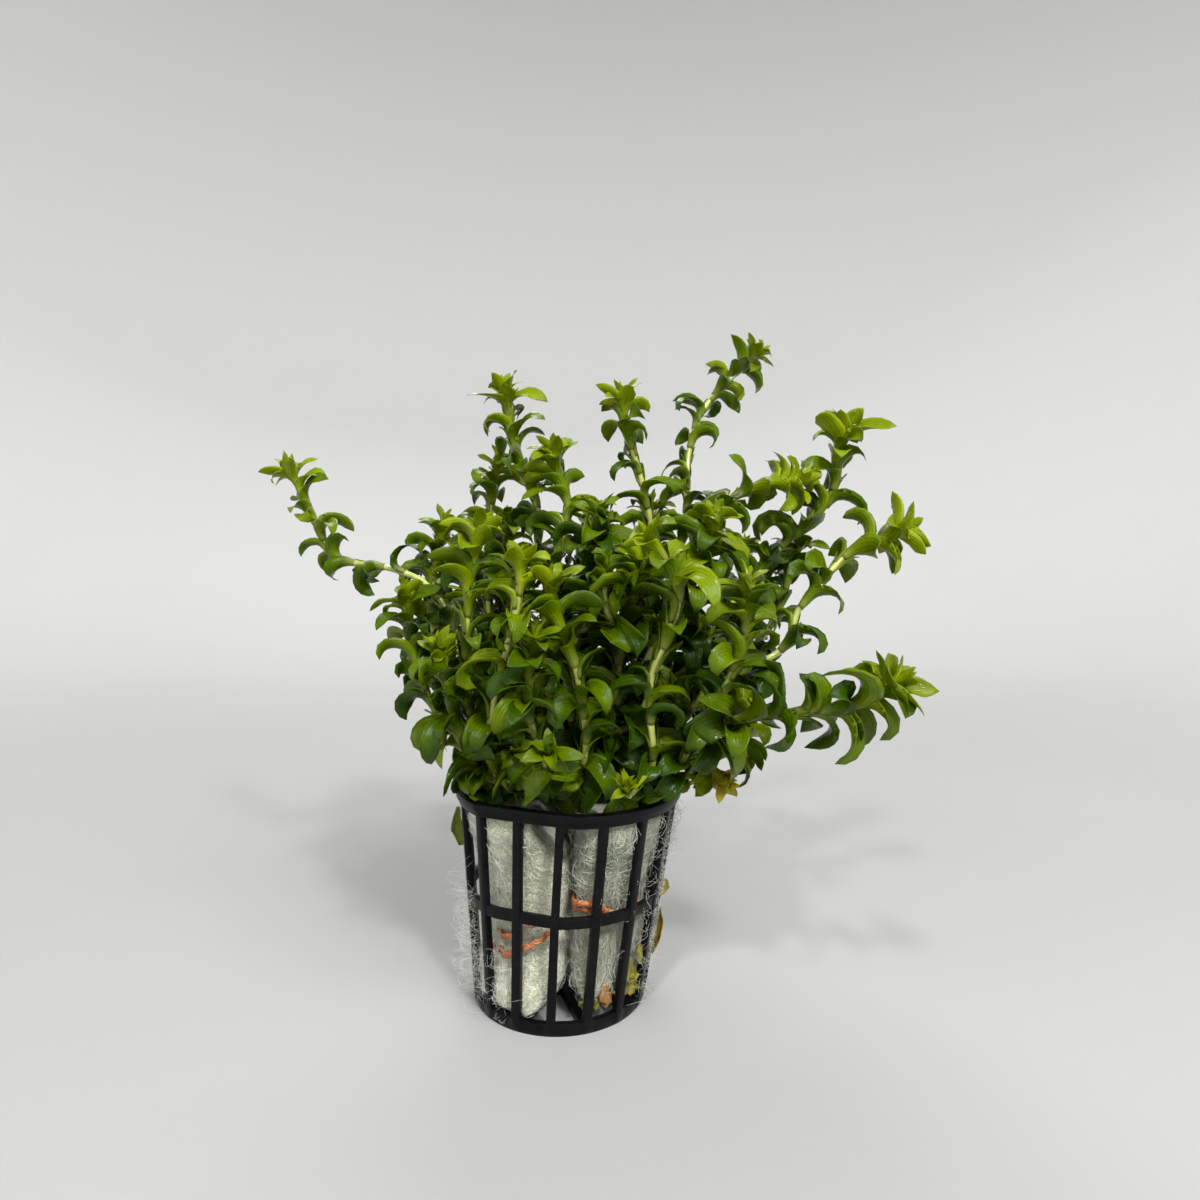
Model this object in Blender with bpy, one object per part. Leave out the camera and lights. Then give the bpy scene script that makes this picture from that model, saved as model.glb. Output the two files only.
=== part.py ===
"""Potted tonina: leafy aquarium stems held by two rolls of wool in a soft black net pot.

Lengths are in millimetres until a mesh is made. +Z is up, the front of the bunch is -Y, and the
origin is the centre of the pot's underside.
"""

import math

import bpy
import numpy as np
from mathutils import Vector
from mathutils.bvhtree import BVHTree

MM = 0.001
GAP = 0.35

# Net pot
POT_HEIGHT = 47.0
POT_RIM_RADIUS = 25.5
POT_BASE_RADIUS = 19.15
POT_WALL = 1.2
RIB_COUNT = 16
RIB_WIDTH = 1.9
RIB_PHASE = math.radians(-2.9)
BASE_RING_TOP = 2.8
BASE_THICKNESS = 1.5
BASE_RING_INNER = 16.4
HUB_RADIUS = 3.6
MIDDLE_RING = (23.3, 25.5)
RIM_BOTTOM = 44.3
RIM_LOWER_STEP = 0.5
RIM_UPPER_STEP = 1.0
RIM_STEP_Z = 45.5
RIM_STEP_HEIGHT = 0.1
RIM_INNER_LIFT = 0.3

# The soft pot is squeezed: its rim has slid sideways and its front left is pressed flat
RIM_SHIFT = 1.8
DENT_AZIMUTH = math.radians(-20.0)
DENT_DEPTH = 0.114
DENT_FLATNESS = 0.85
AXIS_ZONE = 1.0

# Wool rolls
WOOL_GAP = 0.5
WOOL_HALF_SPLIT = 0.9
WOOL_TOP = 45.0
WOOL_FOOT = {"left": 1.9, "right": 5.6}
WOOL_CORNER = 3.8
WOOL_SIDES = 20
WOOL_LEVELS = (13.0, 18.0, 23.0, 28.0, 33.0, 40.0)
WOOL_FOOT_ROUND = (3.0, 2.0)
WOOL_TOP_ROUND = (1.2, 1.6)
WOOL_SMOOTH_ANGLE = math.radians(50.0)
WAIST_CENTRE = 23.5
WAIST_HALF_HEIGHT = 17.0
WAIST_DEPTH = 2.7
WAIST_NEAR_SHARE = 0.45
HOLLOW_FLOOR = 25.4
HOLLOW_HALF = (5.7, 11.8)
HOLLOW_CORNER = 3.0
HOLLOW_LIP = 0.4
ROLL_CENTRE = {"left": -9.5, "right": 11.6}
ROLL_SIDE = {"left": -1.0, "right": 1.0}

# Ties: each is one closed band wound twice round its roll
TIE_RADIUS = 0.45
TIE_SLACK = 0.15
TIE_CROSSING = 0.48
TIE_SIDES = 4
TIE_SEGMENTS = 38
TIES = {
    "left": {"height": 20.0, "tilt": 3.2, "tilt_azimuth": math.radians(55.0), "spread": 2.2},
    "right": {"height": 27.0, "tilt": 3.4, "tilt_azimuth": math.radians(-60.0), "spread": 0.9},
}

# Stems stand on a grid of places in the hollows of the rolls
FOOT_PITCH = 3.5
FOOT_Z = 26.0
LEAD_Z = 30.0
STEM_RADIUS = 1.1
STEM_TAPER = 0.25
STEM_SIDES = 3
STEM_GAP = 3.1
STEM_START_TURN = 1.3
ROUTE_STEP = 2.5
CURVE_SAMPLES = 16
BEARING_SPAN = 1.5
PUSH_ROUNDS = 60
PUSH_SHARE = 0.4
PUSH_NEIGHBOUR_SHARE = 0.5
PUSH_FROM_HEIGHT = 6.0

# A direction that no stem follows, to measure turns round the stems from
ACROSS_ALL_STEMS = Vector((0.31, 0.95, 0.05))

# Leaves, counted from the growing tip down
INTERNODE = 5.4
TIP_INTERNODES = (0.0, 1.3, 1.6, 2.0, 2.6, 3.4, 4.2)
TIP_LENGTHS = (5.0, 7.0, 8.5, 9.5)
TIP_WIDTHS = (2.6, 3.4, 4.5, 5.0)
LEAF_LENGTH = 11.0
LEAF_WIDTH = 5.0
LEAF_TURN = math.radians(137.5)
LEAF_STATIONS = (0.46,)
LEAF_KEEL = 0.35
LEAF_EDGE_RISE = 0.12
LEAFY_ABOVE = 47.5

# Angles between a leaf and its stem: where it starts and how far it curls back
TIP_START = (math.radians(14.0), math.radians(26.0))
TIP_CURL = (math.radians(26.0), math.radians(60.0))
OLD_START = (math.radians(30.0), math.radians(8.0))
OLD_CURL = (math.radians(104.0), math.radians(28.0))
CURL_WAVE = math.radians(18.0)
LENGTH_WAVE = 1.3
WIDTH_WAVE = 0.3
AGE_NODES = 8

# Room that each leaf needs, and the bearings and sizes that it tries
ROOM_KEEL_SHARE = 0.7
ROOM_SHEATH_SHARE = 0.8
ROOM_STEM = 0.1
ROOM_OVER_RIM = 1.0
ROOM_OVER_WOOL = 0.8
MOUTH_RADIUS = 20.5
TRY_TURNS = (0.0, 22.0, -22.0, 44.0, -44.0)
TRY_SIZES = (1.0, 0.8, 0.62)
TUBE_STRETCH = 4

# Each stem: its roll, its place in the hollow, then the points that it grows through
STEMS = {
    "left_arm": ("left", (-1, 0.5), (
        (-21, 2, 65), (-26, 6, 82), (-33, 8, 92), (-44, 10, 96), (-56, 13, 98),
        (-62, 15, 107), (-68, 16, 119))),
    "crown_left": ("left", (0, 1.5), (
        (-14, 8, 64), (-9, 8, 88), (-6, 8, 107), (-12, 8, 124), (-14, 7, 136))),
    "centre_top": ("right", (-1, 0.5), (
        (15, 6, 67), (19, 6, 89), (20, 4, 105), (17, 2, 118), (14, 0, 127), (13, 0, 133))),
    "far_right_top": ("right", (-1, 1.5), (
        (22, 14, 66), (26, 18, 88), (30, 22, 109), (31, 26, 125), (34, 28, 136),
        (41, 30, 146), (49, 32, 154))),
    "right_top": ("right", (0, 0.5), (
        (27, 4, 68), (37, 8, 84), (48, 10, 98), (57, 10, 106), (63, 9, 113),
        (64, 8, 121), (65, 8, 127))),
    "right_tip": ("right", (1, -0.5), (
        (31, -4, 67), (41, -6, 74), (49, -6, 79), (52, -5, 87), (58, -4, 94),
        (64, -3, 100), (73, -4, 104))),
    "lower_right": ("right", (1, -1.5), (
        (27, -16, 57), (34, -24, 66), (43, -28, 68), (51, -30, 69), (57, -31, 71), (61, -32, 74))),
    "right_shelf": ("right", (0, -0.5), (
        (22, -4, 69), (26, -2, 89), (32, 0, 106), (40, 2, 113), (48, 3, 116), (54, 4, 117))),
    "dark_tip": ("left", (0, 2.5), (
        (-18, 16, 63), (-20, 20, 88), (-20, 21, 108), (-18, 21, 122))),
    "middle_left_top": ("left", (1, -0.5), (
        (-4, -4, 69), (-3, -5, 89), (1, -3, 109), (-1, -2, 115), (-2, -2, 121))),
    "front_left": ("left", (0, -2.5), (
        (-14, -18, 57), (-12, -22, 71), (-9, -26, 81), (-7, -27, 91), (-7, -26, 96))),
    "front_right": ("right", (0, -2.5), (
        (19, -20, 55), (18, -25, 72), (21, -28, 82), (23, -30, 90), (21, -31, 96), (18, -31, 100))),
    "front_cross": ("right", (0, -1.5), (
        (25, -16, 55), (31, -24, 69), (35, -28, 79), (36, -29, 87), (36, -29, 92))),
    "front_middle": ("left", (1, -1.5), (
        (5, -20, 56), (5, -25, 70), (3, -27, 79), (0, -26, 86), (-1, -26, 92))),
    "left_high": ("left", (-1, -1.5), (
        (-19, -12, 65), (-19, -15, 85), (-18, -15, 97), (-17, -13, 103))),
    "left_low": ("left", (-1, -0.5), (
        (-22, -4, 56), (-28, -4, 64), (-32, -3, 72), (-34, -2, 80), (-35, -2, 89))),
    "left_back": ("left", (-1, 1.5), (
        (-29, 14, 63), (-35, 20, 78), (-35, 22, 93), (-32, 22, 106))),
    "right_middle": ("right", (1, 1.5), (
        (32, 6, 60), (44, 12, 74), (52, 15, 85), (55, 16, 95), (57, 16, 102))),
    "right_low": ("right", (1, 0.5), (
        (27, -6, 50), (32, -9, 54), (37, -10, 58), (40, -10, 64))),
    "middle": ("right", (-1, -1.5), (
        (10, -14, 57), (12, -15, 70), (13, -16, 82), (15, -17, 90), (16, -17, 97))),
    "middle_left": ("left", (1, 0.5), (
        (1, 0, 66), (4, -4, 84), (6, -6, 98), (8, -6, 107))),
    "middle_right": ("right", (-1, -0.5), (
        (19, -8, 67), (25, -10, 85), (30, -12, 98), (32, -12, 106))),
    "front_left_low": ("left", (0, -1.5), (
        (-17, -14, 53), (-20, -17, 61), (-22, -18, 70), (-24, -18, 78))),
    "front_low": ("left", (0, -0.5), (
        (-3, -19, 57), (-5, -25, 66), (-5, -28, 74), (-4, -29, 81))),
    "back_left": ("left", (1, 1.5), (
        (-13, 22, 62), (-18, 31, 80), (-19, 34, 96), (-17, 34, 109))),
    "back_middle": ("left", (0, 0.5), (
        (-2, 22, 62), (0, 32, 80), (2, 36, 96), (5, 37, 111))),
    "back_right": ("right", (0, 2.5), (
        (19, 24, 65), (22, 33, 83), (23, 36, 99), (22, 36, 113))),
    "back_far_right": ("right", (0, 1.5), (
        (32, 22, 63), (40, 29, 75), (46, 32, 88), (47, 32, 102))),
}

# Loose leaves caught on the outside of the pot: azimuth from the front, height, lean, length, width
LOOSE_LEAVES = {
    "loose_leaf_olive": (math.radians(84.0), 9.0, math.radians(8.0), 10.0, 2.6),
    "loose_leaf_yellow": (math.radians(96.0), 20.0, math.radians(40.0), 5.0, 2.0),
    "loose_leaf_green": (math.radians(-86.0), 33.0, math.radians(4.0), 9.0, 3.0),
}

# Shares of a loose leaf's length and of its width there, and how far its crest stands out
LOOSE_STATIONS = ((0.0, 0.35), (0.4, 1.0), (0.75, 0.7), (1.0, 0.12))
LOOSE_CREST = (0.5, 0.5)

COLOURS = {
    "net_pot": (0.012, 0.012, 0.014),
    "wool": (0.42, 0.42, 0.34),
    "tie": (0.42, 0.12, 0.035),
    "leaf_bright": (0.17, 0.24, 0.020),
    "leaf_deep": (0.06, 0.12, 0.006),
    "leaf_olive": (0.22, 0.20, 0.020),
}
ROUGHNESS = {"net_pot": 0.42, "wool": 0.95, "tie": 0.6, "leaf": 0.3}
COLOUR_STRIDE = 0.37


def clear_scene():
    for obj in list(bpy.data.objects):
        bpy.data.objects.remove(obj, do_unlink=True)


def material(name, colour, roughness):
    mat = bpy.data.materials.new(name)
    mat.use_nodes = True
    shader = mat.node_tree.nodes["Principled BSDF"]
    shader.inputs["Base Color"].default_value = (*colour, 1.0)
    shader.inputs["Roughness"].default_value = roughness
    shader.inputs["Metallic"].default_value = 0.0
    mat.diffuse_color = (*colour, 1.0)
    return mat


def add_object(name, points, faces, mat, smooth_angle=None):
    """Makes one object from points in millimetres and faces that point outward."""
    mesh = bpy.data.meshes.new(name)
    mesh.from_pydata([tuple(c * MM for c in p) for p in points], [], faces)
    mesh.validate()
    mesh.materials.append(mat)
    if smooth_angle is not None:
        mesh.shade_smooth()
        mesh.set_sharp_from_angle(angle=smooth_angle)
    obj = bpy.data.objects.new(name, mesh)
    bpy.context.collection.objects.link(obj)
    return obj


# Pot

def pot_radius(z):
    return POT_BASE_RADIUS + (POT_RIM_RADIUS - RIM_UPPER_STEP - POT_BASE_RADIUS) * z / POT_HEIGHT


def squeeze(x, y, z):
    """Moves a point of the round pot to its place in the squeezed one."""
    share = max(0.0, z / POT_HEIGHT)
    radius = pot_radius(z)
    towards = (math.sin(DENT_AZIMUTH), -math.cos(DENT_AZIMUTH))
    length = math.hypot(x, y)
    if length > AXIS_ZONE:
        reach = radius * (x * towards[0] + y * towards[1]) / length
        limit = radius * (1.0 - DENT_DEPTH * share)
        push = DENT_FLATNESS * max(0.0, reach - limit)
        x -= push * towards[0]
        y -= push * towards[1]
    return (x + RIM_SHIFT * share, y, z)


def polar(radius, azimuth, z):
    """Azimuth 0 is the front, and it grows towards +X."""
    return squeeze(radius * math.sin(azimuth), -radius * math.cos(azimuth), z)


def pot_columns():
    """The azimuth of each rib's middle with its two edges, -1 and 1, then the middle of the window."""
    pitch = math.tau / RIB_COUNT
    columns = []
    for rib in range(RIB_COUNT):
        centre = RIB_PHASE + rib * pitch
        columns += [(centre, -1), (centre, 1), (centre + pitch / 2, 0)]
    return columns


def column_azimuth(column, radius):
    centre, side = column
    return centre + side * RIB_WIDTH / 2 / radius


def wall_rows():
    """Each row of the wall: height, step outward, height inside, and whether the row above it is whole."""
    return [
        (0.0, 0.0, BASE_THICKNESS, True),
        (BASE_RING_TOP, 0.0, BASE_RING_TOP, False),
        (MIDDLE_RING[0], 0.0, MIDDLE_RING[0], True),
        (MIDDLE_RING[1], 0.0, MIDDLE_RING[1], False),
        (RIM_BOTTOM, RIM_LOWER_STEP, RIM_BOTTOM, True),
        (RIM_STEP_Z, RIM_LOWER_STEP, RIM_STEP_Z, True),
        (RIM_STEP_Z + RIM_STEP_HEIGHT, RIM_UPPER_STEP, RIM_STEP_Z + RIM_INNER_LIFT, True),
        (POT_HEIGHT, RIM_UPPER_STEP, POT_HEIGHT, False),
    ]


def wall_cells(columns, corner):
    """Cells of the wall, and the corners of its lowest row."""
    grid = []
    for z, step, inner_z, _ in wall_rows():
        line = []
        for column in columns:
            radius = pot_radius(z)
            azimuth = column_azimuth(column, radius)
            outside = polar(radius + step, azimuth, z)
            inside = polar(radius - POT_WALL, azimuth, inner_z)
            line.append(corner(outside, inside))
        grid.append(line)
    cells = []
    for row, (_, _, _, whole) in enumerate(wall_rows()[:-1]):
        for col, (_, side) in enumerate(columns):
            if whole or side == -1:
                after = (col + 1) % len(columns)
                cells.append((grid[row][col], grid[row][after], grid[row + 1][after], grid[row + 1][col]))
    return cells, grid[0]


def base_cells(columns, corner, rim):
    """Cells of the base: its ring, the hub, and a spoke from the hub to every second rib."""

    def base_corner(column, radius):
        azimuth = column_azimuth(column, radius)
        return corner(polar(radius, azimuth, 0.0), polar(radius, azimuth, BASE_THICKNESS))

    cells = []
    ring = [base_corner(column, BASE_RING_INNER) for column in columns]
    for col in range(len(columns)):
        after = (col + 1) % len(columns)
        cells.append((rim[after], rim[col], ring[col], ring[after]))
    hub = []
    for rib in range(1, RIB_COUNT, 2):
        left, right = 3 * rib, 3 * rib + 1
        hub += [base_corner(columns[left], HUB_RADIUS), base_corner(columns[right], HUB_RADIUS)]
        cells.append((ring[right], ring[left], hub[-2], hub[-1]))
    cells.append(tuple(reversed(hub)))
    return cells


def between_skins(outer, inner, cells):
    """Points and faces of the outer cells, the inner cells, and the walls along every open edge."""
    shift = len(outer)
    faces = list(cells)
    faces += [tuple(i + shift for i in reversed(cell)) for cell in cells]
    edges = {}
    for cell in cells:
        for a, b in zip(cell, cell[1:] + cell[:1]):
            edges[(a, b)] = True
    for a, b in edges:
        if (b, a) not in edges:
            faces.append((b, a, a + shift, b + shift))
    return outer + inner, faces


def net_pot():
    """A lattice of bars: its outer and inner skins share one plan of cells, open at the windows."""
    outer, inner = [], []

    def corner(outer_point, inner_point):
        outer.append(outer_point)
        inner.append(inner_point)
        return len(outer) - 1

    columns = pot_columns()
    cells, rim = wall_cells(columns, corner)
    cells += base_cells(columns, corner, rim)
    points, faces = between_skins(outer, inner, cells)
    mat = material("net_pot", COLOURS["net_pot"], ROUGHNESS["net_pot"])
    return add_object("net_pot", points, faces, mat)


# Wool

def waist(z):
    """How far the ties pull the wool in at a height."""
    reach = (z - WAIST_CENTRE) / WAIST_HALF_HEIGHT
    return WAIST_DEPTH * max(0.0, 1.0 - reach * reach)


def rounded_box(angle, corner):
    """A point of a square with rounded corners, from a circle at corner 2 to sharp ones."""
    c, s = math.cos(angle), math.sin(angle)
    stretch = (abs(c) ** corner + abs(s) ** corner) ** (-1.0 / corner)
    return c * stretch, s * stretch


def wool_surface(side, angle, z, proud=0.0):
    """A point of a roll's outside: a rounded half of the pot's inside, drawn in at the waist."""
    sign = ROLL_SIDE[side]
    room = pot_radius(z) - POT_WALL - WOOL_GAP - waist(z) + proud
    near = WOOL_HALF_SPLIT + WAIST_NEAR_SHARE * waist(z) - proud
    half = (room - near) / 2
    centre = sign * (near + half)
    across, deep = rounded_box(angle, WOOL_CORNER)
    x = centre + half * across
    y = room * deep
    length = math.hypot(x, y)
    if length > room:
        x *= room / length
        y *= room / length
    return squeeze(x, y, z)


def hollow_surface(side, angle, z):
    across, deep = rounded_box(angle, HOLLOW_CORNER)
    return (ROLL_CENTRE[side] + HOLLOW_HALF[0] * across, HOLLOW_HALF[1] * deep, z)


def wool_roll(side):
    """A closed roll: up its outside, over its rounded top and down into the hollow for the stems."""
    foot = WOOL_FOOT[side]
    shoulder = WOOL_TOP - WOOL_TOP_ROUND[0]
    angles = [math.tau * i / WOOL_SIDES for i in range(WOOL_SIDES)]
    rings = [[wool_surface(side, a, foot, -WOOL_FOOT_ROUND[1]) for a in angles]]
    for z in (foot + WOOL_FOOT_ROUND[0], *WOOL_LEVELS, shoulder):
        rings.append([wool_surface(side, a, z) for a in angles])
    rings.append([(*wool_surface(side, a, shoulder, -WOOL_TOP_ROUND[1])[:2], WOOL_TOP) for a in angles])
    rings.append([hollow_surface(side, a, WOOL_TOP - HOLLOW_LIP) for a in angles])
    rings.append([hollow_surface(side, a, HOLLOW_FLOOR) for a in angles])
    points = [p for ring in rings for p in ring]
    faces = [tuple(reversed(range(WOOL_SIDES)))]
    for level in range(len(rings) - 1):
        low, high = level * WOOL_SIDES, (level + 1) * WOOL_SIDES
        for i in range(WOOL_SIDES):
            j = (i + 1) % WOOL_SIDES
            faces.append((low + i, low + j, high + j, high + i))
    last = (len(rings) - 1) * WOOL_SIDES
    faces.append(tuple(last + i for i in range(WOOL_SIDES)))
    mat = material("wool_" + side, COLOURS["wool"], ROUGHNESS["wool"])
    return add_object("wool_roll_" + side, points, faces, mat, WOOL_SMOOTH_ANGLE)


def tie_point(side, turn):
    """A point of the band's centre line; its two turns cross on the roll's outer side."""
    band = TIES[side]
    crossing = (turn + (math.pi if side == "right" else 0.0)) / 2
    z = band["height"] + band["tilt"] * math.sin(turn + band["tilt_azimuth"])
    z += band["spread"] * math.cos(crossing)
    lift = GAP + TIE_RADIUS + TIE_SLACK + TIE_CROSSING * (1.0 + math.sin(crossing))
    return wool_surface(side, turn, z, lift)


def tie(side):
    path = [Vector(tie_point(side, 2 * math.tau * i / TIE_SEGMENTS)) for i in range(TIE_SEGMENTS)]
    points, faces = [], []
    for i, centre in enumerate(path):
        along = (path[(i + 1) % TIE_SEGMENTS] - path[i - 1]).normalized()
        out = along.cross(Vector((0, 0, 1))).normalized()
        up = out.cross(along)
        for k in range(TIE_SIDES):
            angle = math.tau * k / TIE_SIDES
            points.append(centre + TIE_RADIUS * (math.cos(angle) * out + math.sin(angle) * up))
    for i in range(TIE_SEGMENTS):
        j = (i + 1) % TIE_SEGMENTS
        for k in range(TIE_SIDES):
            m = (k + 1) % TIE_SIDES
            faces.append((i * TIE_SIDES + k, j * TIE_SIDES + k, j * TIE_SIDES + m, i * TIE_SIDES + m))
    mat = material("tie_" + side, COLOURS["tie"], ROUGHNESS["tie"])
    return add_object("tie_" + side, points, faces, mat)


# Growth of the stems

def catmull(lead, points, step):
    """Evenly spaced points of a smooth curve through the given ones, which it enters from lead."""
    pts = [np.array(p, float) for p in points]
    pts = [np.array(lead, float)] + pts + [2 * pts[-1] - pts[-2]]
    fine = []
    for i in range(1, len(pts) - 2):
        p0, p1, p2, p3 = pts[i - 1:i + 3]
        for k in range(CURVE_SAMPLES):
            t = k / CURVE_SAMPLES
            square = (2 * p0 - 5 * p1 + 4 * p2 - p3) * t ** 2
            cube = (3 * p1 - p0 - 3 * p2 + p3) * t ** 3
            fine.append(0.5 * (2 * p1 + (p2 - p0) * t + square + cube))
    fine.append(pts[-2])
    fine = np.array(fine)
    run = np.concatenate([[0.0], np.cumsum(np.linalg.norm(np.diff(fine, axis=0), axis=1))])
    places = np.linspace(0.0, run[-1], int(run[-1] / step) + 1)
    return np.column_stack([np.interp(places, run, fine[:, axis]) for axis in range(3)])


def foot_point(side, place, z):
    return (ROLL_CENTRE[side] + place[0] * FOOT_PITCH, place[1] * FOOT_PITCH, z)


def stem_routes():
    """Every stem's route from its foot up, pushed clear of the other stems above the rim."""
    routes = {}
    for name, (side, place, points) in STEMS.items():
        straight = [foot_point(side, place, z) for z in np.arange(FOOT_Z, WOOL_TOP, ROUTE_STEP)]
        out_of_wool = foot_point(side, place, WOOL_TOP)
        curve = catmull(foot_point(side, place, LEAD_Z), [out_of_wool, *points], ROUTE_STEP)
        routes[name] = np.concatenate([straight, curve])
    owner = np.concatenate([np.full(len(r), i) for i, r in enumerate(routes.values())])
    stacked = np.concatenate(list(routes.values()))
    free = np.clip((stacked[:, 2] - WOOL_TOP) / PUSH_FROM_HEIGHT, 0.0, 1.0)[:, None]
    other = owner[:, None] != owner[None, :]
    same_next = (owner[1:] == owner[:-1])[:, None]
    for _ in range(PUSH_ROUNDS):
        apart = stacked[:, None, :] - stacked[None, :, :]
        distance = np.linalg.norm(apart, axis=2) + 1e-9
        short = np.where(other & (distance < STEM_GAP), STEM_GAP - distance, 0.0)
        push = (apart / distance[:, :, None] * short[:, :, None]).sum(axis=1) * PUSH_SHARE
        spread = push.copy()
        spread[1:] += PUSH_NEIGHBOUR_SHARE * push[:-1] * same_next
        spread[:-1] += PUSH_NEIGHBOUR_SHARE * push[1:] * same_next
        stacked += spread * free
    start = 0
    for name, route in routes.items():
        routes[name] = stacked[start:start + len(route)]
        start += len(route)
    return routes


def frames_along(route, places):
    """Points and unit directions at distances measured back from the tip of a route."""
    back = route[::-1]
    run = np.concatenate([[0.0], np.cumsum(np.linalg.norm(np.diff(back, axis=0), axis=1))])

    def at(distance):
        return Vector([float(np.interp(distance, run, back[:, axis])) for axis in range(3)])

    found = []
    for place in places:
        ahead, behind = at(max(0.0, place - BEARING_SPAN)), at(min(run[-1], place + BEARING_SPAN))
        found.append((at(place), (ahead - behind).normalized()))
    return found, run[-1]


def node_places(length, bare):
    """Distances of the leaf nodes from the tip, down to where the stem is bare."""
    places = []
    place = 0.0
    index = 0
    while True:
        place += TIP_INTERNODES[index] if index < len(TIP_INTERNODES) else INTERNODE
        if place > length - bare:
            return places
        places.append(place)
        index += 1


def leaf_frame(direction, azimuth):
    """The outward direction at an azimuth round a stem, and the direction across the leaf there."""
    side = direction.cross(ACROSS_ALL_STEMS).normalized()
    front = direction.cross(side)
    out = math.cos(azimuth) * side + math.sin(azimuth) * front
    return out, direction.cross(out)


def leaf_point(root, direction, out, leaf, share):
    """Place and bearing on a leaf's middle line, an arc that leaves the stem and curls back."""
    start, curl, length = leaf["start"], leaf["curl"], leaf["length"]
    angle = start + curl * share
    along = (math.sin(angle) - math.sin(start)) / curl
    away = (math.cos(start) - math.cos(angle)) / curl
    middle = root + length * (direction * along + out * away)
    normal = out * math.cos(angle) - direction * math.sin(angle)
    return middle, normal


def leaf_section(root, direction, out, across, leaf, share, grow=0.0):
    """Right edge, left edge and keel of a leaf at a share of its length."""
    middle, normal = leaf_point(root, direction, out, leaf, share)
    half = leaf["width"] / 2 + grow
    rise = LEAF_EDGE_RISE * leaf["width"] + grow * ROOM_KEEL_SHARE
    keel = LEAF_KEEL + grow * ROOM_KEEL_SHARE
    edge = middle - normal * rise
    return edge + across * half, edge - across * half, middle + normal * keel


def leaf_for(index, stem_index):
    """A leaf's form by its number from the tip: upright and short in the rosette, then curled back."""
    if index < len(TIP_LENGTHS):
        share = index / len(TIP_LENGTHS)
        return {"length": TIP_LENGTHS[index], "width": TIP_WIDTHS[index],
                "start": TIP_START[0] + TIP_START[1] * share, "curl": TIP_CURL[0] + TIP_CURL[1] * share}
    wave = math.sin(2.4 * index + 1.7 * stem_index)
    age = min(1.0, (index - len(TIP_LENGTHS)) / AGE_NODES)
    return {"length": LEAF_LENGTH + LENGTH_WAVE * wave, "width": LEAF_WIDTH + WIDTH_WAVE * wave,
            "start": OLD_START[0] + OLD_START[1] * age,
            "curl": OLD_CURL[0] + OLD_CURL[1] * age + CURL_WAVE * wave}


def leaf_shell(root, below, direction, out, across, leaf, grow):
    """A leaf with its sheath, a little larger than it is, to test for room."""
    edge = (STEM_RADIUS + grow) * out
    wing = (STEM_RADIUS + grow) * across
    right = root + (edge + wing) * ROOM_SHEATH_SHARE
    left = root + (edge - wing) * ROOM_SHEATH_SHARE
    rings = [(right, left, below + edge)]
    rings += [leaf_section(root, direction, out, across, leaf, s, grow) for s in LEAF_STATIONS]
    tip, _ = leaf_point(root, direction, out, leaf, 1.0 + grow / leaf["length"])
    points = [p for ring in rings for p in ring] + [tip]
    faces = [(0, 1, 2)]
    for level in range(len(rings) - 1):
        for i in range(3):
            j = (i + 1) % 3
            faces.append((level * 3 + i, level * 3 + j, level * 3 + 3 + j))
            faces.append((level * 3 + i, level * 3 + 3 + j, level * 3 + 3 + i))
    last = (len(rings) - 1) * 3
    faces += [(last, last + 1, len(points) - 1), (last + 1, last + 2, len(points) - 1),
              (last + 2, last, len(points) - 1)]
    return points, faces


def clear_of_pot(points):
    """True when every point is above the rim, or over the wool in the pot's mouth."""
    for point in points:
        over_wool = point.z > WOOL_TOP + ROOM_OVER_WOOL
        in_mouth = math.hypot(point.x - RIM_SHIFT, point.y) < MOUTH_RADIUS
        if point.z < POT_HEIGHT + ROOM_OVER_RIM and not (over_wool and in_mouth):
            return False
    return True


def tube_faces(route):
    """A plain tube round a route, to keep leaves off the other stems."""
    points, faces = [], []
    last = len(route) - 1
    for i, centre in enumerate(route):
        along = Vector(route[min(i + 1, last)] - route[max(i - 1, 0)]).normalized()
        out, across = leaf_frame(along, 0.0)
        for k in range(STEM_SIDES):
            angle = math.tau * k / STEM_SIDES
            spoke = math.cos(angle) * out + math.sin(angle) * across
            points.append(Vector(centre) + (STEM_RADIUS + ROOM_STEM) * spoke)
    for i in range(last):
        low, high = i * STEM_SIDES, (i + 1) * STEM_SIDES
        for k in range(STEM_SIDES):
            m = (k + 1) % STEM_SIDES
            faces.append((low + k, low + m, high + m, high + k))
    return points, faces


def reach_of(points):
    centre = sum(points, Vector()) / len(points)
    return centre, max((p - centre).length for p in points)


def stem_tubes(routes):
    """Search trees of short stretches of every stem, with their centres and reaches."""
    tubes = {}
    for name, route in routes.items():
        tubes[name] = []
        for start in range(0, len(route) - 1, TUBE_STRETCH):
            points, faces = tube_faces(route[start:start + TUBE_STRETCH + 1])
            tubes[name].append((*reach_of(points), BVHTree.FromPolygons(points, faces)))
    return tubes


def find_room(root, below, direction, azimuth, index, stem_index, near):
    """The first try of a leaf that is clear of the pot and of everything near, with its search tree."""
    for size in TRY_SIZES:
        for turn in TRY_TURNS:
            leaf = leaf_for(index, stem_index)
            leaf["length"] *= size
            leaf["azimuth"] = azimuth + math.radians(turn)
            out, across = leaf_frame(direction, leaf["azimuth"])
            points, faces = leaf_shell(root, below, direction, out, across, leaf, GAP)
            if not clear_of_pot(points):
                continue
            centre, reach = reach_of(points)
            tree = BVHTree.FromPolygons(points, faces)
            if not any((centre - c).length < reach + r and tree.overlap(t) for c, r, t in near):
                return leaf, (centre, reach, tree)
    return None, None


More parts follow.
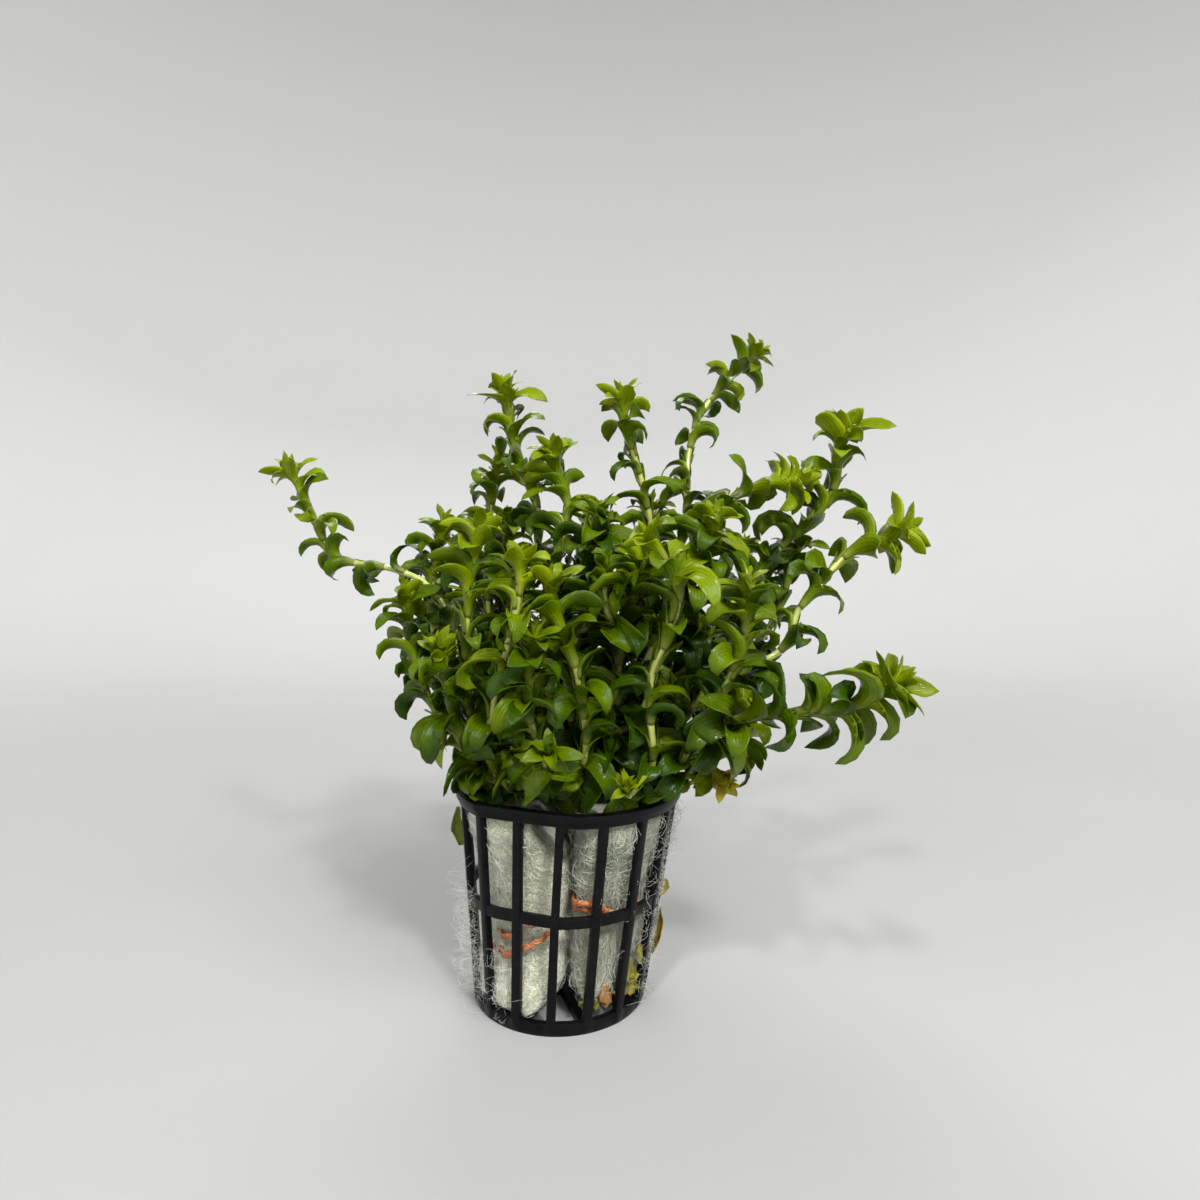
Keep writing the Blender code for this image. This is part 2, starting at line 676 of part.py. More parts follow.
def grow_leaves(routes):
    """Finds room for each leaf from the tip of each stem down, and leaves out what has no room."""
    tubes = stem_tubes(routes)
    placed = []
    plan = {}
    for stem_index, (name, route) in enumerate(routes.items()):
        others = [tube for other, parts in tubes.items() if other != name for tube in parts]
        _, length = frames_along(route, [])
        nodes, _ = frames_along(route, node_places(length, LEAFY_ABOVE - FOOT_Z))
        plan[name] = []
        azimuth = STEM_START_TURN * stem_index
        for index, (root, direction) in enumerate(nodes):
            azimuth += LEAF_TURN
            below = nodes[index + 1][0] if index + 1 < len(nodes) else root - direction * INTERNODE
            leaf, shell = find_room(root, below, direction, azimuth, index, stem_index, others + placed)
            if leaf is not None:
                placed.append(shell)
            plan[name].append((root, direction, leaf))
    return plan


def stem_object(name, route, nodes, stem_index):
    """One stem with its leaves: a four-sided tube with a ring at each node, leaves drawn out of it."""
    foot = Vector(route[0])
    up = Vector((0, 0, 1))
    steps = [(foot, up, None), (Vector((foot.x, foot.y, WOOL_TOP)), up, None), *reversed(nodes)]
    points, faces = [], []
    previous = None
    angle = 0.0
    quarter = math.tau / STEM_SIDES
    leaf_starts = []
    for level, (root, direction, leaf) in enumerate(steps):
        if leaf is not None:
            angle = leaf["azimuth"] + quarter / 2
        radius = STEM_RADIUS * (1.0 - STEM_TAPER * level / len(steps))
        ring = []
        for k in range(STEM_SIDES):
            out, _ = leaf_frame(direction, angle + k * quarter)
            ring.append(len(points))
            points.append(root + radius * out)
        if previous is None:
            faces.append(tuple(reversed(ring)))
        else:
            node = (root, direction, leaf)
            faces += join_rings(points, previous, ring, node, leaf_starts)
        previous = ring
    faces.append(tuple(previous))
    for base, (root, direction, leaf) in leaf_starts:
        draw_leaf(points, faces, base, root, direction, leaf)
    mat = material("stem_" + name, stem_colour(stem_index), ROUGHNESS["leaf"])
    return add_object("stem_" + name, points, faces, mat)


def join_rings(points, lower, upper, node, leaf_starts):
    """Faces between two rings; under a leaf, one triangle is kept open for its base."""
    leafy = node[2] is not None

    def span(a, b):
        return (points[a] - points[b]).length

    def twist_cost(offset):
        return sum(span(lower[(k + offset) % STEM_SIDES], upper[k]) for k in range(STEM_SIDES))

    offset = min(range(STEM_SIDES), key=twist_cost)
    lower = [lower[(k + offset) % STEM_SIDES] for k in range(STEM_SIDES)]
    faces = []
    for k in range(STEM_SIDES):
        m = (k + 1) % STEM_SIDES
        a, b, c, d = lower[k], lower[m], upper[m], upper[k]
        if not (leafy and k == STEM_SIDES - 1):
            faces += [(a, b, c), (a, c, d)]
        elif span(a, c) + span(a, d) < span(b, c) + span(b, d):
            faces.append((a, b, c))
            leaf_starts.append(((c, d, a), node))
        else:
            faces.append((a, b, d))
            leaf_starts.append(((c, d, b), node))
    return faces


def draw_leaf(points, faces, base, root, direction, leaf):
    """Draws a leaf out of the open triangle (right, left, keel) on its stem."""
    out, across = leaf_frame(direction, leaf["azimuth"])
    rings = [base]
    for share in LEAF_STATIONS:
        section = leaf_section(root, direction, out, across, leaf, share)
        rings.append(tuple(range(len(points), len(points) + 3)))
        points.extend(section)
    tip, _ = leaf_point(root, direction, out, leaf, 1.0)
    points.append(tip)
    for low, high in zip(rings, rings[1:]):
        for i in range(3):
            j = (i + 1) % 3
            faces.append((low[i], low[j], high[j]))
            faces.append((low[i], high[j], high[i]))
    last = rings[-1]
    for i in range(3):
        j = (i + 1) % 3
        faces.append((last[i], last[j], len(points) - 1))


def stem_colour(index):
    share = (index * COLOUR_STRIDE) % 1.0
    return tuple(a + (b - a) * share for a, b in zip(COLOURS["leaf_deep"], COLOURS["leaf_bright"]))


def loose_leaf(name, azimuth, height, lean, length, width):
    """A leaf lying against the outside of the pot, a four-sided section that narrows to both ends."""
    rings = []
    for share, part in LOOSE_STATIONS:
        z = height + share * length * math.cos(lean)
        half = width / 2 * part / pot_radius(z)
        swing = share * length * math.sin(lean) / pot_radius(z)
        near = pot_radius(z) + GAP + (RIM_LOWER_STEP if z > MIDDLE_RING[0] else 0.0)
        crest = near + LOOSE_CREST[0] + LOOSE_CREST[1] * part
        rings.append((polar(near, azimuth + swing - half, z), polar(near, azimuth + swing + half, z),
                      polar(crest, azimuth + swing, z)))
    points = [p for ring in rings for p in ring]
    faces = [(0, 1, 2)]
    for level in range(len(rings) - 1):
        for i in range(3):
            j = (i + 1) % 3
            faces.append((level * 3 + j, level * 3 + i, level * 3 + 3 + i, level * 3 + 3 + j))
    last = (len(rings) - 1) * 3
    faces.append((last + 2, last + 1, last))
    mat = material(name, COLOURS["leaf_olive"], ROUGHNESS["leaf"])
    return add_object(name, points, faces, mat)


def main():
    clear_scene()
    net_pot()
    for side in ROLL_SIDE:
        wool_roll(side)
        tie(side)
    routes = stem_routes()
    plan = grow_leaves(routes)
    for index, (name, nodes) in enumerate(plan.items()):
        stem_object(name, routes[name], nodes, index)
    for name, placing in LOOSE_LEAVES.items():
        loose_leaf(name, *placing)


main()
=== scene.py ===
"""Looks of the potted tonina: fine leaves, wool with loose fibres, ties and the moulded net pot.

Lengths are in millimetres until a mesh is made. +Z is up, the front of the bunch is -Y, and the
origin is the centre of the pot's underside. The pot, the wool, the routes of the stems and the
places of the leaves follow the same named values as the model's solids.
"""

import math

import bpy
import numpy as np
from mathutils import Matrix, Vector, noise
from mathutils.bvhtree import BVHTree


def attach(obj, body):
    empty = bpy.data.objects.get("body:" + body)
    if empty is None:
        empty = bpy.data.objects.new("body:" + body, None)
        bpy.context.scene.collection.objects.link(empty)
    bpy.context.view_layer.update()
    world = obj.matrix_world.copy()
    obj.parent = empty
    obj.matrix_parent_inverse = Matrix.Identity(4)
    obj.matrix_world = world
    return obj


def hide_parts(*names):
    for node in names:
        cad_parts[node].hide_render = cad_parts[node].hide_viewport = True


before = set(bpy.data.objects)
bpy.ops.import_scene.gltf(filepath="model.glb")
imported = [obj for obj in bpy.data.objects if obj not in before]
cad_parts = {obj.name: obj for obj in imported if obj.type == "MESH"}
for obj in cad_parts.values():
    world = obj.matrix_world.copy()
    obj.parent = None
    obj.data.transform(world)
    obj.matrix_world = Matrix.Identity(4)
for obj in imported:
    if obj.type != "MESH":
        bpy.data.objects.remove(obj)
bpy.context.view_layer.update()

MM = 0.001
GAP = 0.35

# Net pot
POT_HEIGHT = 47.0
POT_RIM_RADIUS = 25.5
POT_BASE_RADIUS = 19.15
POT_WALL = 1.2
RIB_COUNT = 16
RIB_PITCH = math.tau / RIB_COUNT
RIB_WIDTH = 1.9
RIB_PHASE = math.radians(-2.9)
BASE_RING_TOP = 2.8
BASE_THICKNESS = 1.5
BASE_RING_INNER = 16.4
HUB_RADIUS = 3.6
MIDDLE_RING = (23.3, 25.5)
RIM_BOTTOM = 44.3
RIM_LOWER_STEP = 0.5
RIM_UPPER_STEP = 1.0
RIM_STEP_Z = 45.5

# The soft pot is squeezed: its rim has slid sideways and its front left is pressed flat
RIM_SHIFT = 1.8
DENT_AZIMUTH = math.radians(-20.0)
DENT_DEPTH = 0.114
DENT_FLATNESS = 0.85
AXIS_ZONE = 1.0

# Wool rolls
WOOL_GAP = 0.5
WOOL_HALF_SPLIT = 0.9
WOOL_TOP = 45.0
WOOL_FOOT = {"left": 1.9, "right": 5.6}
WOOL_CORNER = 3.8
WAIST_CENTRE = 23.5
WAIST_HALF_HEIGHT = 17.0
WAIST_DEPTH = 2.7
WAIST_NEAR_SHARE = 0.45
ROLL_CENTRE = {"left": -9.5, "right": 11.6}
ROLL_SIDE = {"left": -1.0, "right": 1.0}

# Ties: each is one closed band wound twice round its roll
TIE_RADIUS = 0.45
TIE_SLACK = 0.15
TIE_CROSSING = 0.48
TIES = {
    "left": {"height": 20.0, "tilt": 3.2, "tilt_azimuth": math.radians(55.0), "spread": 2.2},
    "right": {"height": 27.0, "tilt": 3.4, "tilt_azimuth": math.radians(-60.0), "spread": 0.9},
}

# Stems stand on a grid of places in the hollows of the rolls
FOOT_PITCH = 3.5
FOOT_Z = 26.0
LEAD_Z = 30.0
STEM_RADIUS = 1.1
STEM_SIDES = 3
STEM_GAP = 3.1
STEM_START_TURN = 1.3
ROUTE_STEP = 2.5
CURVE_SAMPLES = 16
BEARING_SPAN = 1.5
PUSH_ROUNDS = 60
PUSH_SHARE = 0.4
PUSH_NEIGHBOUR_SHARE = 0.5
PUSH_FROM_HEIGHT = 6.0

# A direction that no stem follows, to measure turns round the stems from
ACROSS_ALL_STEMS = Vector((0.31, 0.95, 0.05))

# Leaves, counted from the growing tip down
INTERNODE = 5.4
TIP_INTERNODES = (0.0, 1.3, 1.6, 2.0, 2.6, 3.4, 4.2)
TIP_LENGTHS = (5.0, 7.0, 8.5, 9.5)
TIP_WIDTHS = (2.6, 3.4, 4.5, 5.0)
LEAF_LENGTH = 11.0
LEAF_WIDTH = 5.0
LEAF_TURN = math.radians(137.5)
LEAF_STATIONS = (0.46,)
LEAF_KEEL = 0.35
LEAF_EDGE_RISE = 0.12
LEAFY_ABOVE = 47.5

# Angles between a leaf and its stem: where it starts and how far it curls back
TIP_START = (math.radians(14.0), math.radians(26.0))
TIP_CURL = (math.radians(26.0), math.radians(60.0))
OLD_START = (math.radians(30.0), math.radians(8.0))
OLD_CURL = (math.radians(104.0), math.radians(28.0))
CURL_WAVE = math.radians(18.0)
LENGTH_WAVE = 1.3
WIDTH_WAVE = 0.3
AGE_NODES = 8

# Room that each leaf needs, and the bearings and sizes that it tries
ROOM_KEEL_SHARE = 0.7
ROOM_SHEATH_SHARE = 0.8
ROOM_STEM = 0.1
ROOM_OVER_RIM = 1.0
ROOM_OVER_WOOL = 0.8
MOUTH_RADIUS = 20.5
TRY_TURNS = (0.0, 22.0, -22.0, 44.0, -44.0)
TRY_SIZES = (1.0, 0.8, 0.62)
TUBE_STRETCH = 4

# Each stem: its roll, its place in the hollow, then the points that it grows through
STEMS = {
    "left_arm": ("left", (-1, 0.5), (
        (-21, 2, 65), (-26, 6, 82), (-33, 8, 92), (-44, 10, 96), (-56, 13, 98),
        (-62, 15, 107), (-68, 16, 119))),
    "crown_left": ("left", (0, 1.5), (
        (-14, 8, 64), (-9, 8, 88), (-6, 8, 107), (-12, 8, 124), (-14, 7, 136))),
    "centre_top": ("right", (-1, 0.5), (
        (15, 6, 67), (19, 6, 89), (20, 4, 105), (17, 2, 118), (14, 0, 127), (13, 0, 133))),
    "far_right_top": ("right", (-1, 1.5), (
        (22, 14, 66), (26, 18, 88), (30, 22, 109), (31, 26, 125), (34, 28, 136),
        (41, 30, 146), (49, 32, 154))),
    "right_top": ("right", (0, 0.5), (
        (27, 4, 68), (37, 8, 84), (48, 10, 98), (57, 10, 106), (63, 9, 113),
        (64, 8, 121), (65, 8, 127))),
    "right_tip": ("right", (1, -0.5), (
        (31, -4, 67), (41, -6, 74), (49, -6, 79), (52, -5, 87), (58, -4, 94),
        (64, -3, 100), (73, -4, 104))),
    "lower_right": ("right", (1, -1.5), (
        (27, -16, 57), (34, -24, 66), (43, -28, 68), (51, -30, 69), (57, -31, 71), (61, -32, 74))),
    "right_shelf": ("right", (0, -0.5), (
        (22, -4, 69), (26, -2, 89), (32, 0, 106), (40, 2, 113), (48, 3, 116), (54, 4, 117))),
    "dark_tip": ("left", (0, 2.5), (
        (-18, 16, 63), (-20, 20, 88), (-20, 21, 108), (-18, 21, 122))),
    "middle_left_top": ("left", (1, -0.5), (
        (-4, -4, 69), (-3, -5, 89), (1, -3, 109), (-1, -2, 115), (-2, -2, 121))),
    "front_left": ("left", (0, -2.5), (
        (-14, -18, 57), (-12, -22, 71), (-9, -26, 81), (-7, -27, 91), (-7, -26, 96))),
    "front_right": ("right", (0, -2.5), (
        (19, -20, 55), (18, -25, 72), (21, -28, 82), (23, -30, 90), (21, -31, 96), (18, -31, 100))),
    "front_cross": ("right", (0, -1.5), (
        (25, -16, 55), (31, -24, 69), (35, -28, 79), (36, -29, 87), (36, -29, 92))),
    "front_middle": ("left", (1, -1.5), (
        (5, -20, 56), (5, -25, 70), (3, -27, 79), (0, -26, 86), (-1, -26, 92))),
    "left_high": ("left", (-1, -1.5), (
        (-19, -12, 65), (-19, -15, 85), (-18, -15, 97), (-17, -13, 103))),
    "left_low": ("left", (-1, -0.5), (
        (-22, -4, 56), (-28, -4, 64), (-32, -3, 72), (-34, -2, 80), (-35, -2, 89))),
    "left_back": ("left", (-1, 1.5), (
        (-29, 14, 63), (-35, 20, 78), (-35, 22, 93), (-32, 22, 106))),
    "right_middle": ("right", (1, 1.5), (
        (32, 6, 60), (44, 12, 74), (52, 15, 85), (55, 16, 95), (57, 16, 102))),
    "right_low": ("right", (1, 0.5), (
        (27, -6, 50), (32, -9, 54), (37, -10, 58), (40, -10, 64))),
    "middle": ("right", (-1, -1.5), (
        (10, -14, 57), (12, -15, 70), (13, -16, 82), (15, -17, 90), (16, -17, 97))),
    "middle_left": ("left", (1, 0.5), (
        (1, 0, 66), (4, -4, 84), (6, -6, 98), (8, -6, 107))),
    "middle_right": ("right", (-1, -0.5), (
        (19, -8, 67), (25, -10, 85), (30, -12, 98), (32, -12, 106))),
    "front_left_low": ("left", (0, -1.5), (
        (-17, -14, 53), (-20, -17, 61), (-22, -18, 70), (-24, -18, 78))),
    "front_low": ("left", (0, -0.5), (
        (-3, -19, 57), (-5, -25, 66), (-5, -28, 74), (-4, -29, 81))),
    "back_left": ("left", (1, 1.5), (
        (-13, 22, 62), (-18, 31, 80), (-19, 34, 96), (-17, 34, 109))),
    "back_middle": ("left", (0, 0.5), (
        (-2, 22, 62), (0, 32, 80), (2, 36, 96), (5, 37, 111))),
    "back_right": ("right", (0, 2.5), (
        (19, 24, 65), (22, 33, 83), (23, 36, 99), (22, 36, 113))),
    "back_far_right": ("right", (0, 1.5), (
        (32, 22, 63), (40, 29, 75), (46, 32, 88), (47, 32, 102))),
}

# Loose leaves caught on the outside of the pot: azimuth from the front, height, lean, length, width
LOOSE_LEAVES = {
    "loose_leaf_olive": (math.radians(84.0), 9.0, math.radians(8.0), 10.0, 2.6),
    "loose_leaf_yellow": (math.radians(96.0), 20.0, math.radians(40.0), 5.0, 2.0),
    "loose_leaf_green": (math.radians(-86.0), 33.0, math.radians(4.0), 9.0, 3.0),
}

# Shares of a loose leaf's length and of its width there
LOOSE_STATIONS = ((0.0, 0.35), (0.4, 1.0), (0.75, 0.7), (1.0, 0.12))

# Looks of the leaves: a clasping sheath on the stem, then the blade
FULL_GRID = (11, 7)
PLAIN_GRID = (8, 5)
ROW_POWER = 0.92
SHEATH_ROWS = (-1.0, -0.5)
SHEATH_LENGTH = 1.44
SHEATH_GRIPS = (0.42, 0.52, 0.64, 0.74)
SHEATH_GRIP = 0.80
SHEATH_FLARE = 0.55
SHEATH_WRAP = 2.3
BLADE_STATIONS = (0.3, 0.62)
BLADE_WIDEN = 1.22
BLADE_POWER = 3.0
BLADE_POINT = 0.95
BOAT_RADIUS = (2.1, 4.9)
LEAF_NECK = 0.16
LEAF_TIP_WIDTH = 0.02
LEAF_THICKNESS = 0.13
LEAF_TWIST = 1.7
LEAF_BEND = 0.32
LEAF_OPEN = 0.38
LEAF_CURL = 0.5
LEAF_HOOK = 1.9
LEAF_STRETCH = 0.22
LEAF_WAVE = 0.34
SHORTEN_TRIES = 6
SHORTEN_SHARE = 0.85
FRONT_LIMIT = -40.0
BACK_LIMIT = 46.5
RIM_CLEAR = 24.0

# Looks of the stems; each has its own seed, counted from the first one's
STEM_SEED = 100
TUBE_SIDES = 8
TUBE_STEP = 1.2
TUBE_RADIUS = 0.68
TUBE_TIP_RADIUS = 0.3
TUBE_TIP_LENGTH = 2.4
NODE_SWELL = 0.16
NODE_REACH = 0.9

# Leaves between the planned ones, with their places between two nodes
FILL_SEED = 12
FILL_SHIFT = 7
FILL_TRIES = 9
FILL_PLACES = (1 / 3, 2 / 3)
FILL_SPARSE = (0.5,)
FILL_DENSE = (0.2, 0.4, 0.6, 0.8)
FILL_CHANCE = 0.8
DENSE_STEMS = ("back_left", "back_middle", "back_right", "middle", "middle_left", "middle_right")
DENSE_STRETCH = 1.15
SPARSE_STEMS = ("left_arm", "right_tip", "centre_top", "front_left", "front_right", "front_middle")
LOW_DROPS = (1.8, 3.6, 5.4, 7.2)
LOW_ROOM = 1.2

# Side shoots inside the bunch: nodes that bear one, length, reach to the side and room to other stems
SHOOT_STEMS = DENSE_STEMS + ("back_far_right", "left_back", "front_low")
SHOOT_NODES = (6, 8, 10, 12)
SHOOT_TRIES = 8
SHOOT_POINTS = 6
SHOOT_LENGTH = 13.0
SHOOT_OUT = 6.5
SHOOT_ROOM = 1.3
INNER_SHOOTS = {
    "back_right": ((13, 12, 60), (11, 8, 74), (10.5, 6, 84), (10, 5, 92)),
    "back_middle": ((2, 14, 60), (3, 12, 76), (2.5, 10, 90)),
    "back_left": ((-9, 14, 60), (-11, 13, 76), (-13, 12, 92)),
    "left_back": ((-18, 12, 62), (-21, 11, 76), (-24, 10, 90)),
    "middle": ((6, 13, 52), (7, 12, 64), (7, 10, 72)),
    "front_low": ((-11, 10, 50), (-13, 10, 60), (-15, 9, 72)),
    "middle_right": ((13, 14, 76), (14, 13, 88), (13, 12, 98)),
}
INNER_LEAD = 6.0
INNER_STEP = 3.4
SHOOT_ROSETTE = (7.0, 3.2, math.radians(62), 7)

# Rosettes at the tips: length, width, how far they open, and number of leaves
ROSETTE = (8.5, 3.6, math.radians(72), 9)
ROSETTE_DEPTH = 2.6
YOUNG_HOOK = 0.4
YOUNG_SHEATH = 0.7
YOUNG_TONE_LIMIT = 0.98
ROSETTES = {
    "far_right_top": (7.6, 2.8, math.radians(66), 13),
    "right_top": (12.8, 5.8, math.radians(78), 11),
    "right_tip": (12.4, 6.0, math.radians(84), 11),
    "left_arm": (9.2, 3.6, math.radians(70), 10),
    "lower_right": (11.8, 5.4, math.radians(78), 10),
    "crown_left": (10.0, 4.0, math.radians(72), 10),
    "centre_top": (9.6, 4.2, math.radians(68), 10),
    "right_shelf": (9.4, 3.8, math.radians(50), 9),
}

# A young plantlet low in front and an old one at the right: path from the stem, rosette and tone
PLANTLETS = {
    "front_right": (
        ((13.8, -25.5, 51.0), (13.7, -26.5, 53.5)), (5.6, 2.0, math.radians(66), 10), 0.45),
    "right_low": (
        ((27.0, -12.0, 57.0), (31.5, -15.0, 55.0), (33.5, -17.0, 53.0)),
        (8.5, 3.4, math.radians(70), 9), 1.25),
}

# Tones of single stems that are brighter or deeper than the others
STEM_TONES = {
    "front_left": 0.54, "left_high": 0.44, "crown_left": 0.45, "left_arm": 0.55, "centre_top": 0.45,
    "far_right_top": 0.55, "right_top": 0.5, "right_tip": 0.55, "right_shelf": 0.5, "front_right": 0.46,
    "front_middle": 0.34, "front_low": 0.25, "left_low": 0.34, "front_left_low": 0.32,
    "left_back": 0.34, "middle": 0.25, "dark_tip": 0.40, "middle_left_top": 0.5, "back_left": 0.38,
    "back_middle": 0.30, "back_right": 0.36,
}

# Shares of length and width of the leaves on slighter and on stouter shoots
LEAF_SCALES = {
    "far_right_top": (0.94, 0.76),
    "left_arm": (0.88, 0.85),
    "centre_top": (0.9, 0.9),
    "right_top": (1.05, 1.2),
    "right_tip": (1.05, 1.2),
    "lower_right": (1.1, 1.2),
}

# How brown the lower leaves of a stem are
OLD_FROM = {"right_low": 2.0, "left_low": 1.0, "front_left_low": 0.8, "lower_right": 1.4,
            "right_tip": 0.5, "left_back": 0.7, "front_middle": 0.5}

# Looks of the pot: across a rib, its place in half widths and how proud it is
RIB_SECTION = ((-1.0, 0.0), (-0.82, 0.26), (0.0, 0.32), (0.82, 0.26), (1.0, 0.0))
WINDOW_COLUMNS = 4
POT_BEVEL = 0.14
BEVEL_ANGLE = math.radians(38)

# Rows of the pot: height, step outwards, height inside, whether the band above it is whole, and how far
# the ribs stand proud there
FINE_ROWS = (
    (0.0, 0.0, BASE_THICKNESS, True, 0.0),
    (0.5, 0.15, BASE_THICKNESS + 0.2, True, 0.3),
    (BASE_RING_TOP, 0.15, BASE_RING_TOP, False, 0.6),
    (MIDDLE_RING[0], 0.0, MIDDLE_RING[0], True, 1.0),
    (MIDDLE_RING[1], 0.0, MIDDLE_RING[1], False, 1.0),
    (RIM_BOTTOM, 0.0, RIM_BOTTOM, True, 1.0),
    (RIM_BOTTOM + 0.08, RIM_LOWER_STEP, RIM_BOTTOM + 0.3, True, 0.0),
    (RIM_STEP_Z, RIM_LOWER_STEP, RIM_STEP_Z, True, 0.0),
    (RIM_STEP_Z + 0.08, RIM_UPPER_STEP, RIM_STEP_Z + 0.3, True, 0.0),
    (POT_HEIGHT, RIM_UPPER_STEP, POT_HEIGHT, False, 0.0),
)

# Looks of the wool
WOOL_ROWS = 84
WOOL_AROUND = 132
WOOL_BULGE = 0.45
WOOL_SPREAD = 0.4
WOOL_PINCH = 0.4
FOOT_ROUND = 3.0
TOP_ROUND = 2.4
MEETING = (1.9, -4.2)
MEETING_HEIGHTS = (30.0, 45.0)
MEETING_OVERLAP = 0.1
FOOT_TUCK = {"left": 6.0, "right": 1.0}
FOOT_TUCK_HEIGHT = 9.0
WEDGE = 5.5
WEDGE_HEIGHTS = (31.0, 43.0)
WEDGE_DEPTHS = (9.0, -2.0)
STAIN_PLACE = (11.0, 36.5)

# How far the right roll is worn away behind the leaf bits, and where
BITE = 1.8
BITE_BEARING = math.radians(50)
SET_BACK = 3.0

# Fibres on a roll: seed, number, how far they lie off the wool, and how high they arch
FIBRES = {"left": (5, 3200, 0.18, 0.2), "right": (6, 3700, 0.35, 0.4)}
FIBRE_POINTS = 6
FIBRE_RADIUS = 0.042
FIBRE_LENGTHS = (2.5, 7.5)
FIBRE_BEND = 2.42

# Fibres outside the ribs: the roll's seed, then for each group its bearing, spread, lowest and highest
# place, reach off the wall, and number
STRAY_POINTS = 13
STRAY_RADIUS = 0.019
STRAY_LENGTHS = (3.0, 9.0)
STRAY_BEND = 3.6
ACROSS_STRAYS = (0.2, 0.1, 0.97)
STRAY_CLEAR = 0.9
STRAY_CLEAR_HEIGHTS = (9.0, 31.0)
STRAYS = {
    "left": (31, (
        (math.radians(-85), math.radians(24), 2.0, 27.0, 4.0, 400),
        (math.radians(-55), math.radians(25), 2.0, 16.0, 0.7, 110),
    )),
    "right": (32, (
        (math.radians(84), math.radians(22), 3.0, 42.0, 2.8, 440),
        (math.radians(46), math.radians(20), 12.0, 40.0, 0.4, 26),
    )),
}

# Looks of the ties: steps along and round the band, its half thickness and half width
TIE_SEED = 40
TIE_FINE = (260, 10)
TIE_HALF = (0.3, 0.62)
TIE_SINK = 2.1

# How far a loose leaf's free edge is turned off the pot, which edge that is, its share of width and its tone
LOOSE_LOOKS = {
    "loose_leaf_olive": (math.radians(34), -1, 1.1, 0.44),
    "loose_leaf_yellow": (math.radians(70), -1, 1.5, 0.45),
    "loose_leaf_green": (math.radians(58), 1, 1.0, 0.0),
}

# Bits of old leaf: bearing, distance inside the wall, height, length, width, turn and tone
BITS_SEED = 77
BITS = (
    (math.radians(32), 0.1, 7.2, 4.0, 2.8, 1.5, 1.0),
    (math.radians(35), 0.4, 5.4, 2.8, 2.0, 1.0, 0.9),
    (math.radians(46), -0.2, 7.0, 5.4, 3.6, 1.3, 0.35),
    (math.radians(51), -0.4, 10.2, 5.4, 4.0, 1.9, 0.28),
    (math.radians(57), -0.2, 6.4, 4.6, 3.4, 0.8, 0.42),
    (math.radians(60), -0.5, 12.6, 3.8, 2.6, 1.6, 0.30),
    (math.radians(63), -0.3, 6.6, 4.4, 3.0, 1.5, 0.38),
    (math.radians(27), 0.5, 5.4, 2.6, 1.5, 1.1, 0.3),
    (math.radians(19), 1.0, 6.0, 2.8, 1.5, 0.2, 0.35),
    (math.radians(63), -1.3, 5.2, 1.7, 1.1, 0.3, 0.0),
)

# Colours, as stops of place and linear colour
LEAF_RAMP = (
    (0.0, (0.036, 0.086, 0.0002)),
    (0.25, (0.150, 0.232, 0.0003)),
    (0.55, (0.350, 0.432, 0.002)),
    (0.72, (0.42, 0.38, 0.015)),
    (0.95, (0.20, 0.09, 0.020)),
)
WOOL_GREEN = (0.42, 0.62, 0.40)
# WOOL_DARK is the colour of painted shade in the gap between the rolls and at the right roll's foot; it also
# darkens the right roll's front a little all over
WOOL_DARK = (0.12, 0.125, 0.085)
PALE_SHEATH = (0.34, 0.38, 0.07)
STEM_RAMP = ((0.2, (0.15, 0.18, 0.02)), (0.5, (0.36, 0.40, 0.085)), (0.8, (0.52, 0.53, 0.19)))
OLD_RAMP = (
    (0.34, (0.06, 0.11, 0.004)),
    (0.48, (0.13, 0.13, 0.007)),
    (0.66, (0.30, 0.22, 0.015)),
    (0.86, (0.24, 0.095, 0.02)),
)
WOOL_RAMP = ((0.3, (0.64, 0.66, 0.44)), (0.5, (0.82, 0.81, 0.60)), (0.7, (0.92, 0.91, 0.74)))
FIBRE_RAMP = ((0.0, (0.10, 0.11, 0.08)), (0.4, (0.50, 0.51, 0.43)), (1.0, (0.86, 0.86, 0.80)))
TIE_RAMP = ((0.36, (0.13, 0.032, 0.010)), (0.5, (0.42, 0.125, 0.032)), (0.64, (0.72, 0.36, 0.17)))
POT_RAMP = ((0.3, (0.0015, 0.0015, 0.002)), (0.7, (0.004, 0.004, 0.005)))
POT_DUST = (0.16, 0.16, 0.15)
# Floor colours near the object and far off; the darker near one is painted shade under the object
FLOOR_NEAR_SHADE = (0.355, 0.355, 0.35)
FLOOR_FAR = (0.73, 0.73, 0.725)

# Noise of the materials, and the three directions of the wool's grain
NOISE_ROUGHNESS = 0.55
WOOL_STRETCHES = ((1, 1, 0.45), (0.4, 0.4, 1), (0.9, 0.4, 0.8))

# Stage, lights and camera, in metres but for the camera's place
FLOOR_SIDES = 96
FLOOR_RADIUS = 0.55
WALL_BEND = 0.45
WALL_HEIGHT = 1.6
AIM = (0.0, 0.0, 0.08)
LIGHTS = (
    ("key", (0.30, -0.40, 0.70), 0.50, 5.0, (1.0, 0.98, 0.95)),
    ("spark_right", (0.25, -0.50, 0.55), 0.08, 3.4, (1.0, 1.0, 1.0)),
    ("spark_left", (-0.12, -0.45, 0.60), 0.06, 2.2, (1.0, 1.0, 1.0)),
    ("fill", (-0.55, -0.45, 0.40), 0.6, 0.9, (0.94, 0.97, 1.0)),
    ("back", (-0.10, 0.50, 0.70), 0.4, 3.0, (1.0, 1.0, 1.0)),
)
WORLD_COLOUR = (0.95, 0.97, 1.0)
WORLD_STRENGTH = 0.24
CAMERA_PLACE = (8.4, -167.6, 92.8)
CAMERA_PITCH = math.radians(1.42)
CAMERA_ROLL = math.radians(0.51)
CAMERA_LENS = 22.2
CAMERA_SENSOR = 36.0


# Lines and directions

def unit(vectors):
    """The same vectors at length one, along the last axis."""
    return vectors / (np.linalg.norm(vectors, axis=-1, keepdims=True) + 1e-9)


